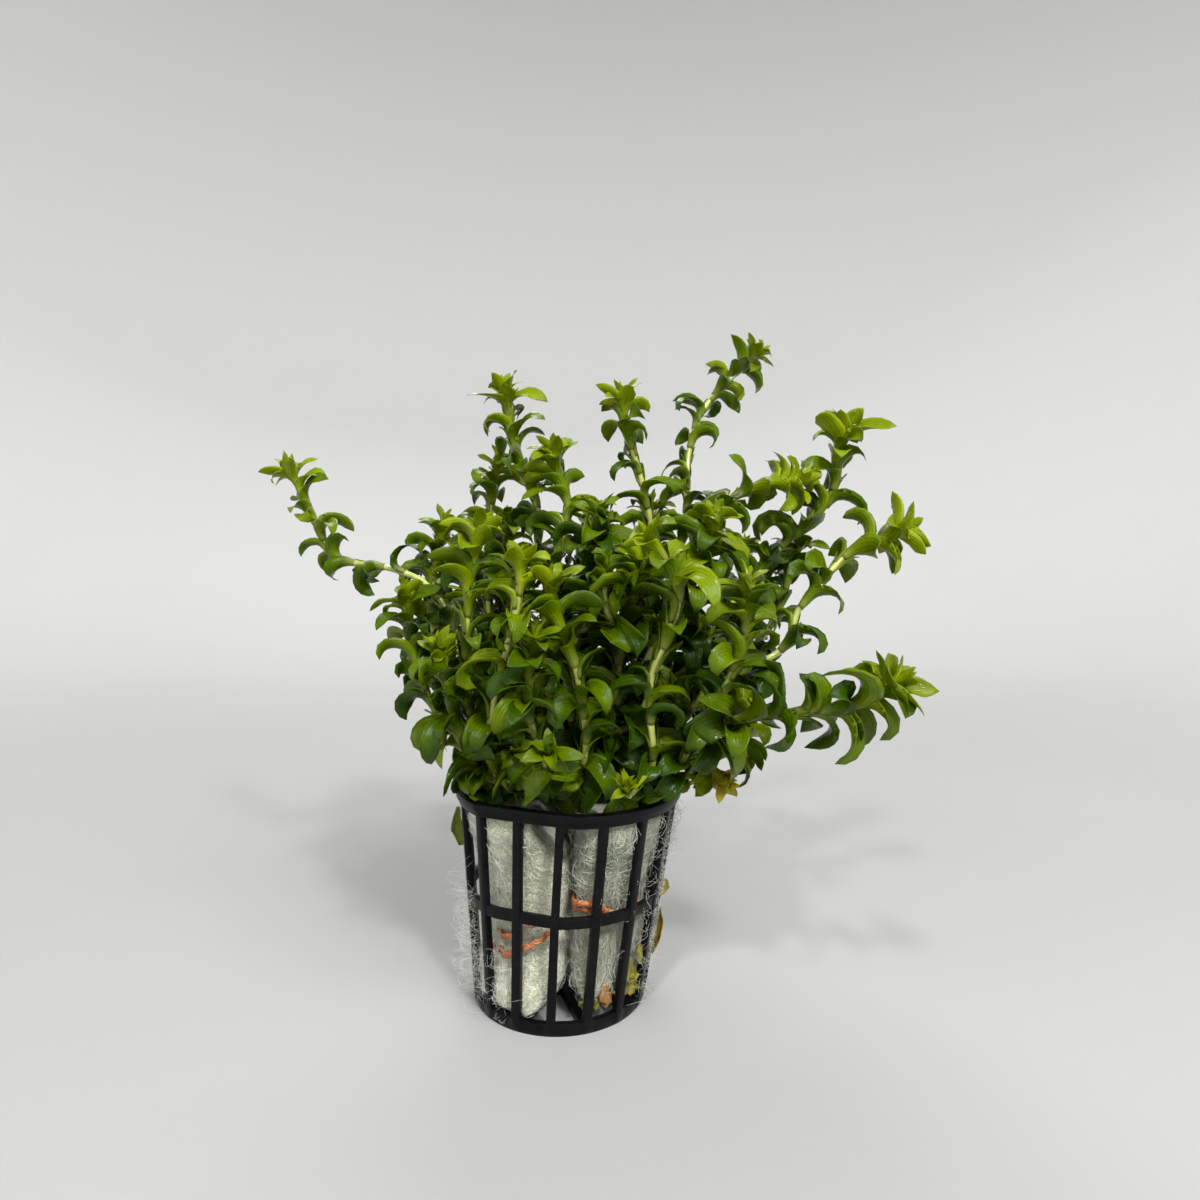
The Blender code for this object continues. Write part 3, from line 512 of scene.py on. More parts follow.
def smooth_step(low, high, value):
    share = np.clip((value - low) / (high - low), 0.0, 1.0)
    return share * share * (3.0 - 2.0 * share)


def distances(points):
    """Distance along a line of points from its first to each of them."""
    return np.concatenate([[0.0], np.cumsum(np.linalg.norm(np.diff(points, axis=0), axis=1))])


def along_line(points, places):
    """Points of a line at distances from its first point."""
    run = distances(points)
    return np.column_stack([np.interp(places, run, points[:, axis]) for axis in range(3)])


def even_places(length, step):
    return np.linspace(0.0, length, int(length / step) + 1)


# Places shared with the solids

def pot_radius(z):
    return POT_BASE_RADIUS + (POT_RIM_RADIUS - RIM_UPPER_STEP - POT_BASE_RADIUS) * z / POT_HEIGHT


def squeeze(x, y, z):
    """Moves a point of the round pot to its place in the squeezed one."""
    share = max(0.0, z / POT_HEIGHT)
    radius = pot_radius(z)
    towards = (math.sin(DENT_AZIMUTH), -math.cos(DENT_AZIMUTH))
    length = math.hypot(x, y)
    if length > AXIS_ZONE:
        reach = radius * (x * towards[0] + y * towards[1]) / length
        limit = radius * (1.0 - DENT_DEPTH * share)
        push = DENT_FLATNESS * max(0.0, reach - limit)
        x -= push * towards[0]
        y -= push * towards[1]
    return (x + RIM_SHIFT * share, y, z)


def polar(radius, azimuth, z):
    """Azimuth 0 is the front, and it grows towards +X."""
    return squeeze(radius * math.sin(azimuth), -radius * math.cos(azimuth), z)


def waist(z):
    """How far the ties pull the wool in at a height."""
    reach = (z - WAIST_CENTRE) / WAIST_HALF_HEIGHT
    return WAIST_DEPTH * max(0.0, 1.0 - reach * reach)


def rounded_box(angle, corner):
    """A point of a square with rounded corners, from a circle at corner 2 to sharp ones."""
    c, s = math.cos(angle), math.sin(angle)
    stretch = (abs(c) ** corner + abs(s) ** corner) ** (-1.0 / corner)
    return c * stretch, s * stretch


def wool_surface(side, angle, z, proud=0.0):
    """A point of a roll's outside: a rounded half of the pot's inside, drawn in at the waist."""
    sign = ROLL_SIDE[side]
    room = pot_radius(z) - POT_WALL - WOOL_GAP - waist(z) + proud
    near = WOOL_HALF_SPLIT + WAIST_NEAR_SHARE * waist(z) - proud
    half = (room - near) / 2
    centre = sign * (near + half)
    across, deep = rounded_box(angle, WOOL_CORNER)
    x = centre + half * across
    y = room * deep
    length = math.hypot(x, y)
    if length > room:
        x *= room / length
        y *= room / length
    return squeeze(x, y, z)


def tie_crossing(side, turn):
    return (turn + (math.pi if side == "right" else 0.0)) / 2


def tie_height(side, turn):
    """Height of the band's centre line; its two turns cross on the roll's outer side."""
    band = TIES[side]
    tilt = band["tilt"] * math.sin(turn + band["tilt_azimuth"])
    return band["height"] + tilt + band["spread"] * math.cos(tie_crossing(side, turn))


def tie_point(side, turn):
    lift = GAP + TIE_RADIUS + TIE_SLACK + TIE_CROSSING * (1.0 + math.sin(tie_crossing(side, turn)))
    return wool_surface(side, turn, tie_height(side, turn), lift)


# Growth of the stems, shared with the solids

def catmull(lead, points, step):
    """Evenly spaced points of a smooth curve through the given ones, which it enters from lead."""
    pts = [np.array(p, float) for p in points]
    pts = [np.array(lead, float)] + pts + [2 * pts[-1] - pts[-2]]
    fine = []
    for i in range(1, len(pts) - 2):
        p0, p1, p2, p3 = pts[i - 1:i + 3]
        for k in range(CURVE_SAMPLES):
            t = k / CURVE_SAMPLES
            square = (2 * p0 - 5 * p1 + 4 * p2 - p3) * t ** 2
            cube = (3 * p1 - p0 - 3 * p2 + p3) * t ** 3
            fine.append(0.5 * (2 * p1 + (p2 - p0) * t + square + cube))
    fine = np.array(fine + [pts[-2]])
    return along_line(fine, even_places(distances(fine)[-1], step))


def foot_point(side, place, z):
    return (ROLL_CENTRE[side] + place[0] * FOOT_PITCH, place[1] * FOOT_PITCH, z)


def stem_routes():
    """Every stem's route from its foot up, pushed clear of the other stems above the rim."""
    routes = {}
    for name, (side, place, points) in STEMS.items():
        straight = [foot_point(side, place, z) for z in np.arange(FOOT_Z, WOOL_TOP, ROUTE_STEP)]
        out_of_wool = foot_point(side, place, WOOL_TOP)
        curve = catmull(foot_point(side, place, LEAD_Z), [out_of_wool, *points], ROUTE_STEP)
        routes[name] = np.concatenate([straight, curve])
    owner = np.concatenate([np.full(len(r), i) for i, r in enumerate(routes.values())])
    stacked = np.concatenate(list(routes.values()))
    free = np.clip((stacked[:, 2] - WOOL_TOP) / PUSH_FROM_HEIGHT, 0.0, 1.0)[:, None]
    other = owner[:, None] != owner[None, :]
    same_next = (owner[1:] == owner[:-1])[:, None]
    for _ in range(PUSH_ROUNDS):
        apart = stacked[:, None, :] - stacked[None, :, :]
        distance = np.linalg.norm(apart, axis=2) + 1e-9
        short = np.where(other & (distance < STEM_GAP), STEM_GAP - distance, 0.0)
        push = (apart / distance[:, :, None] * short[:, :, None]).sum(axis=1) * PUSH_SHARE
        spread = push.copy()
        spread[1:] += PUSH_NEIGHBOUR_SHARE * push[:-1] * same_next
        spread[:-1] += PUSH_NEIGHBOUR_SHARE * push[1:] * same_next
        stacked += spread * free
    start = 0
    for name, route in routes.items():
        routes[name] = stacked[start:start + len(route)]
        start += len(route)
    return routes


def node_places(length, bare):
    """Distances of the leaf nodes from the tip, down to where the stem is bare."""
    places = []
    place = 0.0
    index = 0
    while True:
        place += TIP_INTERNODES[index] if index < len(TIP_INTERNODES) else INTERNODE
        if place > length - bare:
            return places
        places.append(place)
        index += 1


def leaf_nodes(route, bare):
    """Places of a stem's leaves from its tip down to its bare foot, with its direction at each."""
    back = route[::-1]
    length = distances(back)[-1]
    places = np.array(node_places(length, bare))
    ahead = along_line(back, np.maximum(0.0, places - BEARING_SPAN))
    behind = along_line(back, np.minimum(length, places + BEARING_SPAN))
    ways = [(Vector(a) - Vector(b)).normalized() for a, b in zip(ahead, behind)]
    return list(zip([Vector(root) for root in along_line(back, places)], ways))


def leaf_frame(direction, azimuth):
    """The outward direction at an azimuth round a stem, and the direction across the leaf there."""
    side = direction.cross(ACROSS_ALL_STEMS).normalized()
    front = direction.cross(side)
    out = math.cos(azimuth) * side + math.sin(azimuth) * front
    return out, direction.cross(out)


def leaf_point(root, direction, out, leaf, share):
    """Place and bearing on a leaf's middle line, an arc that leaves the stem and curls back."""
    start, curl, length = leaf["start"], leaf["curl"], leaf["length"]
    angle = start + curl * share
    along = (math.sin(angle) - math.sin(start)) / curl
    away = (math.cos(start) - math.cos(angle)) / curl
    middle = root + length * (direction * along + out * away)
    normal = out * math.cos(angle) - direction * math.sin(angle)
    return middle, normal


def leaf_section(root, direction, out, across, leaf, share, grow=0.0):
    """Right edge, left edge and keel of a leaf at a share of its length."""
    middle, normal = leaf_point(root, direction, out, leaf, share)
    half = leaf["width"] / 2 + grow
    rise = LEAF_EDGE_RISE * leaf["width"] + grow * ROOM_KEEL_SHARE
    keel = LEAF_KEEL + grow * ROOM_KEEL_SHARE
    edge = middle - normal * rise
    return edge + across * half, edge - across * half, middle + normal * keel


def leaf_for(index, stem_index):
    """A leaf's form by its number from the tip: upright and short in the rosette, then curled back."""
    if index < len(TIP_LENGTHS):
        share = index / len(TIP_LENGTHS)
        return {"length": TIP_LENGTHS[index], "width": TIP_WIDTHS[index],
                "start": TIP_START[0] + TIP_START[1] * share, "curl": TIP_CURL[0] + TIP_CURL[1] * share}
    wave = math.sin(2.4 * index + 1.7 * stem_index)
    age = min(1.0, (index - len(TIP_LENGTHS)) / AGE_NODES)
    return {"length": LEAF_LENGTH + LENGTH_WAVE * wave, "width": LEAF_WIDTH + WIDTH_WAVE * wave,
            "start": OLD_START[0] + OLD_START[1] * age,
            "curl": OLD_CURL[0] + OLD_CURL[1] * age + CURL_WAVE * wave}


def leaf_shell(root, below, direction, out, across, leaf, grow):
    """A leaf with its sheath, a little larger than it is, to test for room."""
    edge = (STEM_RADIUS + grow) * out
    wing = (STEM_RADIUS + grow) * across
    right = root + (edge + wing) * ROOM_SHEATH_SHARE
    left = root + (edge - wing) * ROOM_SHEATH_SHARE
    rings = [(right, left, below + edge)]
    rings += [leaf_section(root, direction, out, across, leaf, s, grow) for s in LEAF_STATIONS]
    tip, _ = leaf_point(root, direction, out, leaf, 1.0 + grow / leaf["length"])
    points = [p for ring in rings for p in ring] + [tip]
    faces = [(0, 1, 2)]
    for level in range(len(rings) - 1):
        for i in range(3):
            j = (i + 1) % 3
            faces.append((level * 3 + i, level * 3 + j, level * 3 + 3 + j))
            faces.append((level * 3 + i, level * 3 + 3 + j, level * 3 + 3 + i))
    last = (len(rings) - 1) * 3
    faces += [(last, last + 1, len(points) - 1), (last + 1, last + 2, len(points) - 1),
              (last + 2, last, len(points) - 1)]
    return points, faces


def clear_of_pot(points):
    """True when every point is above the rim, or over the wool in the pot's mouth."""
    for point in points:
        over_wool = point.z > WOOL_TOP + ROOM_OVER_WOOL
        in_mouth = math.hypot(point.x - RIM_SHIFT, point.y) < MOUTH_RADIUS
        if point.z < POT_HEIGHT + ROOM_OVER_RIM and not (over_wool and in_mouth):
            return False
    return True


def tube_faces(route):
    """A plain tube round a route, to keep leaves off the other stems."""
    points, faces = [], []
    last = len(route) - 1
    for i, centre in enumerate(route):
        along = Vector(route[min(i + 1, last)] - route[max(i - 1, 0)]).normalized()
        out, across = leaf_frame(along, 0.0)
        for k in range(STEM_SIDES):
            angle = math.tau * k / STEM_SIDES
            spoke = math.cos(angle) * out + math.sin(angle) * across
            points.append(Vector(centre) + (STEM_RADIUS + ROOM_STEM) * spoke)
    for i in range(last):
        low, high = i * STEM_SIDES, (i + 1) * STEM_SIDES
        for k in range(STEM_SIDES):
            m = (k + 1) % STEM_SIDES
            faces.append((low + k, low + m, high + m, high + k))
    return points, faces


def reach_of(points):
    centre = sum(points, Vector()) / len(points)
    return centre, max((p - centre).length for p in points)


class Crowd:
    """Closed shells already placed, asked quickly whether another shell would meet one of them."""

    def __init__(self, routes):
        """Starts with short stretches of every stem, which only leaves of other stems can meet."""
        self.centres, self.reaches, self.trees, self.owners = [], [], [], []
        for name, route in routes.items():
            for start in range(0, len(route) - 1, TUBE_STRETCH):
                self.add(shell_of(*tube_faces(route[start:start + TUBE_STRETCH + 1])), name)

    def add(self, shell, owner=None):
        centre, reach, tree = shell
        self.centres.append(tuple(centre))
        self.reaches.append(reach)
        self.trees.append(tree)
        self.owners.append(owner)

    def meets(self, shell, but):
        centre, reach, tree = shell
        apart = np.linalg.norm(np.array(self.centres) - np.array(centre), axis=1)
        close = np.nonzero(apart < np.array(self.reaches) + reach)[0]
        return any(self.owners[i] != but and tree.overlap(self.trees[i]) for i in close)


def shell_of(points, faces):
    """Centre, reach and search tree of a closed shell."""
    return (*reach_of(points), BVHTree.FromPolygons(points, faces))


def find_room(crowd, name, root, below, direction, azimuth, index, stem_index):
    """The first try of a leaf that is clear of the pot and of everything near, or None."""
    for size in TRY_SIZES:
        for turn in TRY_TURNS:
            leaf = leaf_for(index, stem_index)
            leaf["length"] *= size
            leaf["azimuth"] = azimuth + math.radians(turn)
            out, across = leaf_frame(direction, leaf["azimuth"])
            points, faces = leaf_shell(root, below, direction, out, across, leaf, GAP)
            shell = shell_of(points, faces)
            if clear_of_pot(points) and not crowd.meets(shell, name):
                crowd.add(shell)
                return leaf
    return None


def grow_leaves(routes):
    """Finds room for each leaf from the tip of each stem down, and leaves out what has no room."""
    crowd = Crowd(routes)
    plan = {}
    for stem_index, (name, route) in enumerate(routes.items()):
        nodes = leaf_nodes(route, LEAFY_ABOVE - FOOT_Z)
        plan[name] = []
        azimuth = STEM_START_TURN * stem_index
        for index, (root, direction) in enumerate(nodes):
            azimuth += LEAF_TURN
            below = nodes[index + 1][0] if index + 1 < len(nodes) else root - direction * INTERNODE
            leaf = find_room(crowd, name, root, below, direction, azimuth, index, stem_index)
            plan[name].append((root, direction, leaf))
    return plan


# Leaves beyond the planned ones

def fill_leaves(routes, plan):
    """Leaves between the planned ones, where there is room, as the bunch is denser than its solids."""
    rng = np.random.default_rng(FILL_SEED)
    crowd = Crowd(routes)
    for nodes in plan.values():
        for root, direction, leaf in nodes:
            if leaf is not None:
                crowd.add(blade_shell(root, direction, leaf))
    filled, shoots = {}, {}
    for stem_index, (name, nodes) in enumerate(plan.items()):
        filled[name] = []
        for root, direction, index in places_between(name, nodes):
            if rng.random() < FILL_CHANCE:
                leaf = place_fill(crowd, name, root, direction, index, stem_index, rng)
                if leaf is not None:
                    filled[name].append((root, direction, leaf, index))
        shoots[name] = []
        for index in SHOOT_NODES:
            if index < len(nodes) - 1 and name in SHOOT_STEMS:
                points = side_shoot(name, routes, nodes[index], rng)
                if points:
                    shoots[name].append(dress_shoot(crowd, name, points, stem_index + index, rng))
        if name in INNER_SHOOTS:
            points = branch(routes[name], INNER_SHOOTS[name])
            shoots[name].append(dress_shoot(crowd, name, points, stem_index, rng))
    return filled, shoots


def places_between(name, nodes):
    """Places on a stem for more leaves: below its lowest node down to the wool, then between nodes."""
    last, direction, _ = nodes[-1]
    low = [(Vector((last.x, last.y, last.z - drop)), direction, len(nodes)) for drop in LOW_DROPS]
    places = [place for place in low if place[0].z > WOOL_TOP + LOW_ROOM]
    shares = FILL_DENSE if name in DENSE_STEMS else FILL_PLACES
    if name in SPARSE_STEMS:
        shares = FILL_SPARSE
    for index, (upper, lower) in enumerate(zip(nodes, nodes[1:])):
        for share in shares:
            root = upper[0].lerp(lower[0], share)
            places.append((root, upper[1].lerp(lower[1], share).normalized(), index))
    return places


def branch(route, path):
    """Points of a curve that leaves a stem a little below its path and then follows the path."""
    below = np.array(path[0]) - (0.0, 0.0, INNER_LEAD)
    nearest = max(1, int(np.argmin(np.linalg.norm(route - below, axis=1))))
    start = tuple(route[nearest])
    return [Vector(point) for point in catmull(tuple(route[nearest - 1]), (start,) + path, INNER_STEP)]


def side_shoot(name, routes, node, rng):
    """Points of a short side shoot that curves up from a node, clear of the other stems, or None."""
    root, direction, _ = node
    others = np.concatenate([route for other, route in routes.items() if other != name])
    for _ in range(SHOOT_TRIES):
        out, _ = leaf_frame(direction, rng.random() * math.tau)
        points = []
        for k in range(SHOOT_POINTS):
            share = k / (SHOOT_POINTS - 1)
            aside = out * (SHOOT_OUT * (1 - (1 - share) ** 2))
            points.append(root + aside + direction * (SHOOT_LENGTH * share * (0.45 + 0.5 * share)))
        gaps = np.linalg.norm(np.array(points)[:, None] - others[None], axis=2)
        if gaps.min() > SHOOT_ROOM:
            return points
    return None


def dress_shoot(crowd, name, points, seed, rng):
    """Line and nodes of a shoot through points, from its tip down, with leaves where they fit."""
    nodes = []
    for k in range(len(points) - 1, 0, -1):
        way = (points[k] - points[k - 1]).normalized()
        leaf = place_fill(crowd, name, points[k], way, len(points) - 1 - k, seed, rng)
        nodes.append((points[k], way, leaf))
    nodes.append((points[0], (points[1] - points[0]).normalized(), None))
    return np.array(points), nodes


def place_fill(crowd, name, root, direction, index, stem_index, rng):
    """The largest leaf that fits at a place on a stem without meeting what is there, or None."""
    azimuth = rng.random() * math.tau
    stretch = DENSE_STRETCH if name in DENSE_STEMS else 1.0
    for size in TRY_SIZES:
        for attempt in range(FILL_TRIES):
            leaf = leaf_for(index, stem_index + FILL_SHIFT)
            leaf["length"] *= size * stretch
            leaf["width"] *= (1.0 + size) / 2 * stretch
            leaf["azimuth"] = azimuth + attempt * LEAF_TURN
            shell = blade_shell(root, direction, leaf)
            if not crowd.meets(shell, name):
                crowd.add(shell)
                return leaf
    return None


def blade_shell(root, direction, leaf):
    """The blade of a leaf beyond its sheath, as a shell to test for room."""
    out, across = leaf_frame(direction, leaf["azimuth"])
    rings = [leaf_section(root, direction, out, across, leaf, share) for share in BLADE_STATIONS]
    tip, _ = leaf_point(root, direction, out, leaf, 1.0)
    points = [p for ring in rings for p in ring] + [tip]
    faces = [(0, 1, 2), (0, 1, 4), (0, 4, 3), (1, 2, 5), (1, 5, 4),
             (2, 0, 3), (2, 3, 5), (3, 4, 6), (4, 5, 6), (5, 3, 6)]
    return shell_of(points, faces)


# Building meshes

def link_mesh(name, points, faces, materials):
    """A smooth object in the scene, from points in metres."""
    mesh = bpy.data.meshes.new(name)
    mesh.from_pydata(points, [], faces)
    for material in materials:
        mesh.materials.append(material)
    mesh.shade_smooth()
    obj = bpy.data.objects.new(name, mesh)
    bpy.context.collection.objects.link(obj)
    return obj


class Shape:
    """Grids of one piece: points in millimetres, faces with material slots, and values per point."""

    def __init__(self):
        self.points, self.faces, self.slots, self.values = [], [], [], []
        self.count = 0

    def add(self, points, faces, slot=0, values=(0.0, 0.0, 0.0)):
        points = np.asarray(points, float).reshape(-1, 3)
        self.points.append(points)
        self.faces.append(np.asarray(faces, int) + self.count)
        self.slots += [slot] * len(faces)
        self.values.append(np.broadcast_to(np.asarray(values, float), points.shape))
        self.count += len(points)

    def cap(self, ring, slot=0):
        """One face over points that are already there."""
        self.faces.append(np.array([ring]))
        self.slots.append(slot)

    def make(self, name, materials):
        points = (np.concatenate(self.points) * MM).tolist()
        obj = link_mesh(name, points, [f for block in self.faces for f in block.tolist()], materials)
        obj.data.polygons.foreach_set("material_index", self.slots)
        grain = obj.data.attributes.new("grain", "FLOAT_VECTOR", "POINT")
        grain.data.foreach_set("vector", np.concatenate(self.values).astype(np.float32).ravel())
        return obj


def grid_faces(rows, columns, closed=False):
    """Quads of a grid of points; closed joins its last column to its first."""
    faces = []
    for i in range(rows - 1):
        for j in range(columns if closed else columns - 1):
            k = (j + 1) % columns
            faces.append((i * columns + j, i * columns + k, (i + 1) * columns + k, (i + 1) * columns + j))
    return faces


def two_skin_faces(rows, columns):
    """Faces of an outer grid, an inner grid after it, and the strips that close their edges."""
    inner = rows * columns
    faces = grid_faces(rows, columns)
    faces += [tuple(i + inner for i in reversed(face)) for face in list(faces)]
    for i in range(rows - 1):
        low, high = i * columns, (i + 1) * columns
        faces.append((low, high, high + inner, low + inner))
        low, high = low + columns - 1, high + columns - 1
        faces.append((high, low, low + inner, high + inner))
    for j in range(columns - 1):
        faces.append((j + 1, j, j + inner, j + 1 + inner))
        top = (rows - 1) * columns + j
        faces.append((top, top + 1, top + 1 + inner, top + inner))
    return faces


def two_skins(shape, rows, columns, tone, place):
    """Adds a thin closed leaf, whose outer and inner points place gives from shares along and across."""
    spots = [(i / (rows - 1), 2 * j / (columns - 1) - 1) for i in range(rows) for j in range(columns)]
    outer, inner = zip(*[place(along, across) for along, across in spots])
    values = [(across, along, tone) for along, across in spots] * 2
    shape.add(outer + inner, two_skin_faces(rows, columns), 0, values)


def round_tube(shape, line, radius, sides, aside, tone):
    """Adds an open round tube along a line of points, with a radius at each of them."""
    along = unit(np.gradient(line, axis=0))
    side = unit(np.cross(along, aside))
    front = np.cross(side, along)
    angles = (np.arange(sides) / sides * math.tau)[:, None]
    spokes = side[:, None] * np.cos(angles) + front[:, None] * np.sin(angles)
    faces = [face[::-1] for face in grid_faces(len(line), sides, closed=True)]
    shape.add(line[:, None] + spokes * radius[:, None, None], faces, 1, (0.0, 0.0, tone))


# Leaves

def leaf_mesh(root, direction, leaf, grip, sheath, chance, grid):
    """Points and values of a fine leaf on the same arc as its solid, clasping the stem below its root."""
    rows, columns = grid
    out, across = leaf_frame(direction, leaf["azimuth"])
    length = leaf["length"] * (1.0 + LEAF_STRETCH * (chance[1] + chance[4] - 1.0))
    start = leaf["start"] + LEAF_OPEN * (chance[3] * 2 - 1)
    curl = leaf["curl"] * (1.0 + LEAF_CURL * (chance[4] * 2 - 1.1))
    blade = np.linspace(0.0, 1.0, rows - len(SHEATH_ROWS)) ** ROW_POWER
    share = np.concatenate([np.array(SHEATH_ROWS) * sheath / length, blade])
    on_blade = np.maximum(share, 0.0)
    hook = leaf.get("hook", LEAF_HOOK) * chance[2]
    angle = np.where(share < 0.0, 0.0, start + curl * on_blade + hook * smooth_step(0.5, 1.0, on_blade))
    middle = (angle[1:] + angle[:-1]) / 2
    steps = np.diff(share) * length
    along = np.concatenate([[0.0], np.cumsum(np.cos(middle) * steps)])
    away = np.concatenate([[0.0], np.cumsum(np.sin(middle) * steps)])
    along, away = along - along[len(SHEATH_ROWS)], away - away[len(SHEATH_ROWS)]
    flare = grip * (1.0 + SHEATH_FLARE * smooth_step(-sheath / length, 0.1, share))
    away = (np.maximum(away, 0.0) ** 3 + flare ** 3) ** (1 / 3)

    outline = 1.0 - LEAF_NECK + LEAF_NECK * smooth_step(-0.05, 0.3, share)
    outline = outline * (1.0 - on_blade ** BLADE_POWER) ** BLADE_POINT
    half = np.maximum(leaf["width"] / 2 * BLADE_WIDEN * outline, LEAF_TIP_WIDTH)
    boat = BOAT_RADIUS[0] + (BOAT_RADIUS[1] - BOAT_RADIUS[0]) * chance[0]
    round_radius = 1.0 / (1.0 / away ** 3 + 1.0 / boat ** 3) ** (1 / 3)
    round_radius = np.where(share < 0.0, away, round_radius) * (1.0 + 0.25 * smooth_step(0.3, 1.0, share))
    u = np.linspace(-1.0, 1.0, columns)
    theta = (np.minimum(half / round_radius, SHEATH_WRAP)[:, None] * u)[..., None]
    twist = (LEAF_TWIST * (chance[1] * 2 - 1) * on_blade ** 1.3)[:, None]
    sideways = LEAF_BEND * (chance[2] * 2 - 1) * length * on_blade ** 2
    wave = LEAF_WAVE * (0.4 + chance[3]) * np.sin(on_blade * (9 + 5 * chance[4]) + 6 * chance[0])
    wave = wave * smooth_step(0.15, 0.5, on_blade) * (1.0 - on_blade)

    centre = np.stack([along, away, sideways], axis=1)
    zero = np.zeros(rows)
    normal = unit(np.stack([-np.gradient(away), np.gradient(along), zero], axis=1))
    side = np.array([0.0, 0.0, 1.0])
    upright = normal * np.cos(twist) + side * np.sin(twist)
    level = side * np.cos(twist) - normal * np.sin(twist)
    face = upright[:, None] * np.cos(theta) + level[:, None] * np.sin(theta)
    points = (centre - upright * round_radius[:, None])[:, None] + face * round_radius[:, None, None]
    lift = wave[:, None] * u ** 2
    thick = LEAF_THICKNESS * (1.0 - 0.45 * u ** 2) * (1.0 - 0.5 * on_blade)[:, None] / 2
    skins = [points + face * (lift + offset)[..., None] for offset in (thick, -thick)]
    local = np.concatenate(skins).reshape(-1, 3)
    world = np.array(root, float) + local @ np.array([direction, out, across], float)
    return world, np.tile(u, rows * 2), np.tile(np.repeat(share, columns), 2)


def add_leaf(shape, root, direction, leaf, grip, sheath, tone, rng, grid=FULL_GRID):
    """Adds one fine leaf; its values are the place across it, the place along it, and its tone."""
    chance = rng.random(5)
    points, across, along = leaf_mesh(root, direction, leaf, grip, sheath, chance, grid)
    for _ in range(SHORTEN_TRIES):
        if not reaches_too_far(points):
            break
        leaf = {**leaf, "length": leaf["length"] * SHORTEN_SHARE}
        points, across, along = leaf_mesh(root, direction, leaf, grip, sheath, chance, grid)
    values = np.stack([across, along, np.full(len(along), tone)], axis=1)
    shape.add(points, two_skin_faces(*grid), 0, values)


def reaches_too_far(points):
    """Whether a leaf leaves the room of the bunch in front or behind, or hangs down outside the rim."""
    x, y, z = points.T
    below = (z < POT_HEIGHT + 1.0) & (np.hypot(x - RIM_SHIFT, y) > RIM_CLEAR)
    return y.min() < FRONT_LIMIT or y.max() > BACK_LIMIT or below.any()


def grip_at(index):
    """Radius at which a leaf clasps the stem, smaller near the growing tip."""
    return SHEATH_GRIPS[index] if index < len(SHEATH_GRIPS) else SHEATH_GRIP


def leaf_tone(name, base, index, count, rng):
    """0 is deep green, 1 is bright yellow-green, and above 1 a leaf turns old and brown."""
    tip = 0.50 * math.exp(-index / 5.0)
    low = OLD_FROM.get(name, 0.0) * max(0.0, (index / count - 0.55) / 0.45)
    age = 0.34 * min(1.0, index / 10.0)
    return base + tip - age + 0.24 * (rng.random() * 2 - 1) + low * (0.4 + rng.random())


def rosette(shape, form, first, base_tone, rng):
    """Young leaves crowded round the growing tip, the inner ones short and upright."""
    root, direction, leaf = first
    azimuth = (leaf["azimuth"] if leaf else 0.0) + math.pi
    size, width, spread, count = form
    for k in range(count):
        share = k / (count - 1)
        young = {
            "length": size * (0.5 + 0.5 * share) * rng.uniform(0.9, 1.1),
            "width": width * (0.6 + 0.4 * share),
            "start": math.radians(6 + 34 * share),
            "curl": math.radians(6) + spread * 0.7 * share * rng.uniform(0.7, 1.3),
            "hook": YOUNG_HOOK,
            "azimuth": azimuth + k * LEAF_TURN + rng.uniform(-0.2, 0.2),
        }
        place = root - direction * (ROSETTE_DEPTH * share - 0.3)
        tone = base_tone + 0.55 - 0.15 * share + rng.uniform(-0.08, 0.08)
        tone = min(tone, max(YOUNG_TONE_LIMIT, base_tone + 0.2))
        add_leaf(shape, place, direction, young, 0.30 + 0.35 * share, YOUNG_SHEATH, tone, rng)


# Stems

def stem_tube(shape, route, nodes, tone):
    """A fine round stem with a swelling at each node, thinner into its growing tip."""
    back = route[::-1]
    run = distances(back)
    places = even_places(run[-1], TUBE_STEP)
    radius = TUBE_RADIUS - (TUBE_RADIUS - TUBE_TIP_RADIUS) * np.exp(-places / TUBE_TIP_LENGTH)
    for root, _, _ in nodes:
        node_run = run[np.argmin(np.linalg.norm(back - np.array(root), axis=1))]
        radius = radius + NODE_SWELL * TUBE_RADIUS * np.exp(-((places - node_run) / NODE_REACH) ** 2)
    first = shape.count
    round_tube(shape, along_line(back, places), radius, TUBE_SIDES, -ACROSS_ALL_STEMS, tone)
    shape.cap(range(first, first + TUBE_SIDES), 1)
    shape.cap(range(shape.count - 1, shape.count - 1 - TUBE_SIDES, -1), 1)


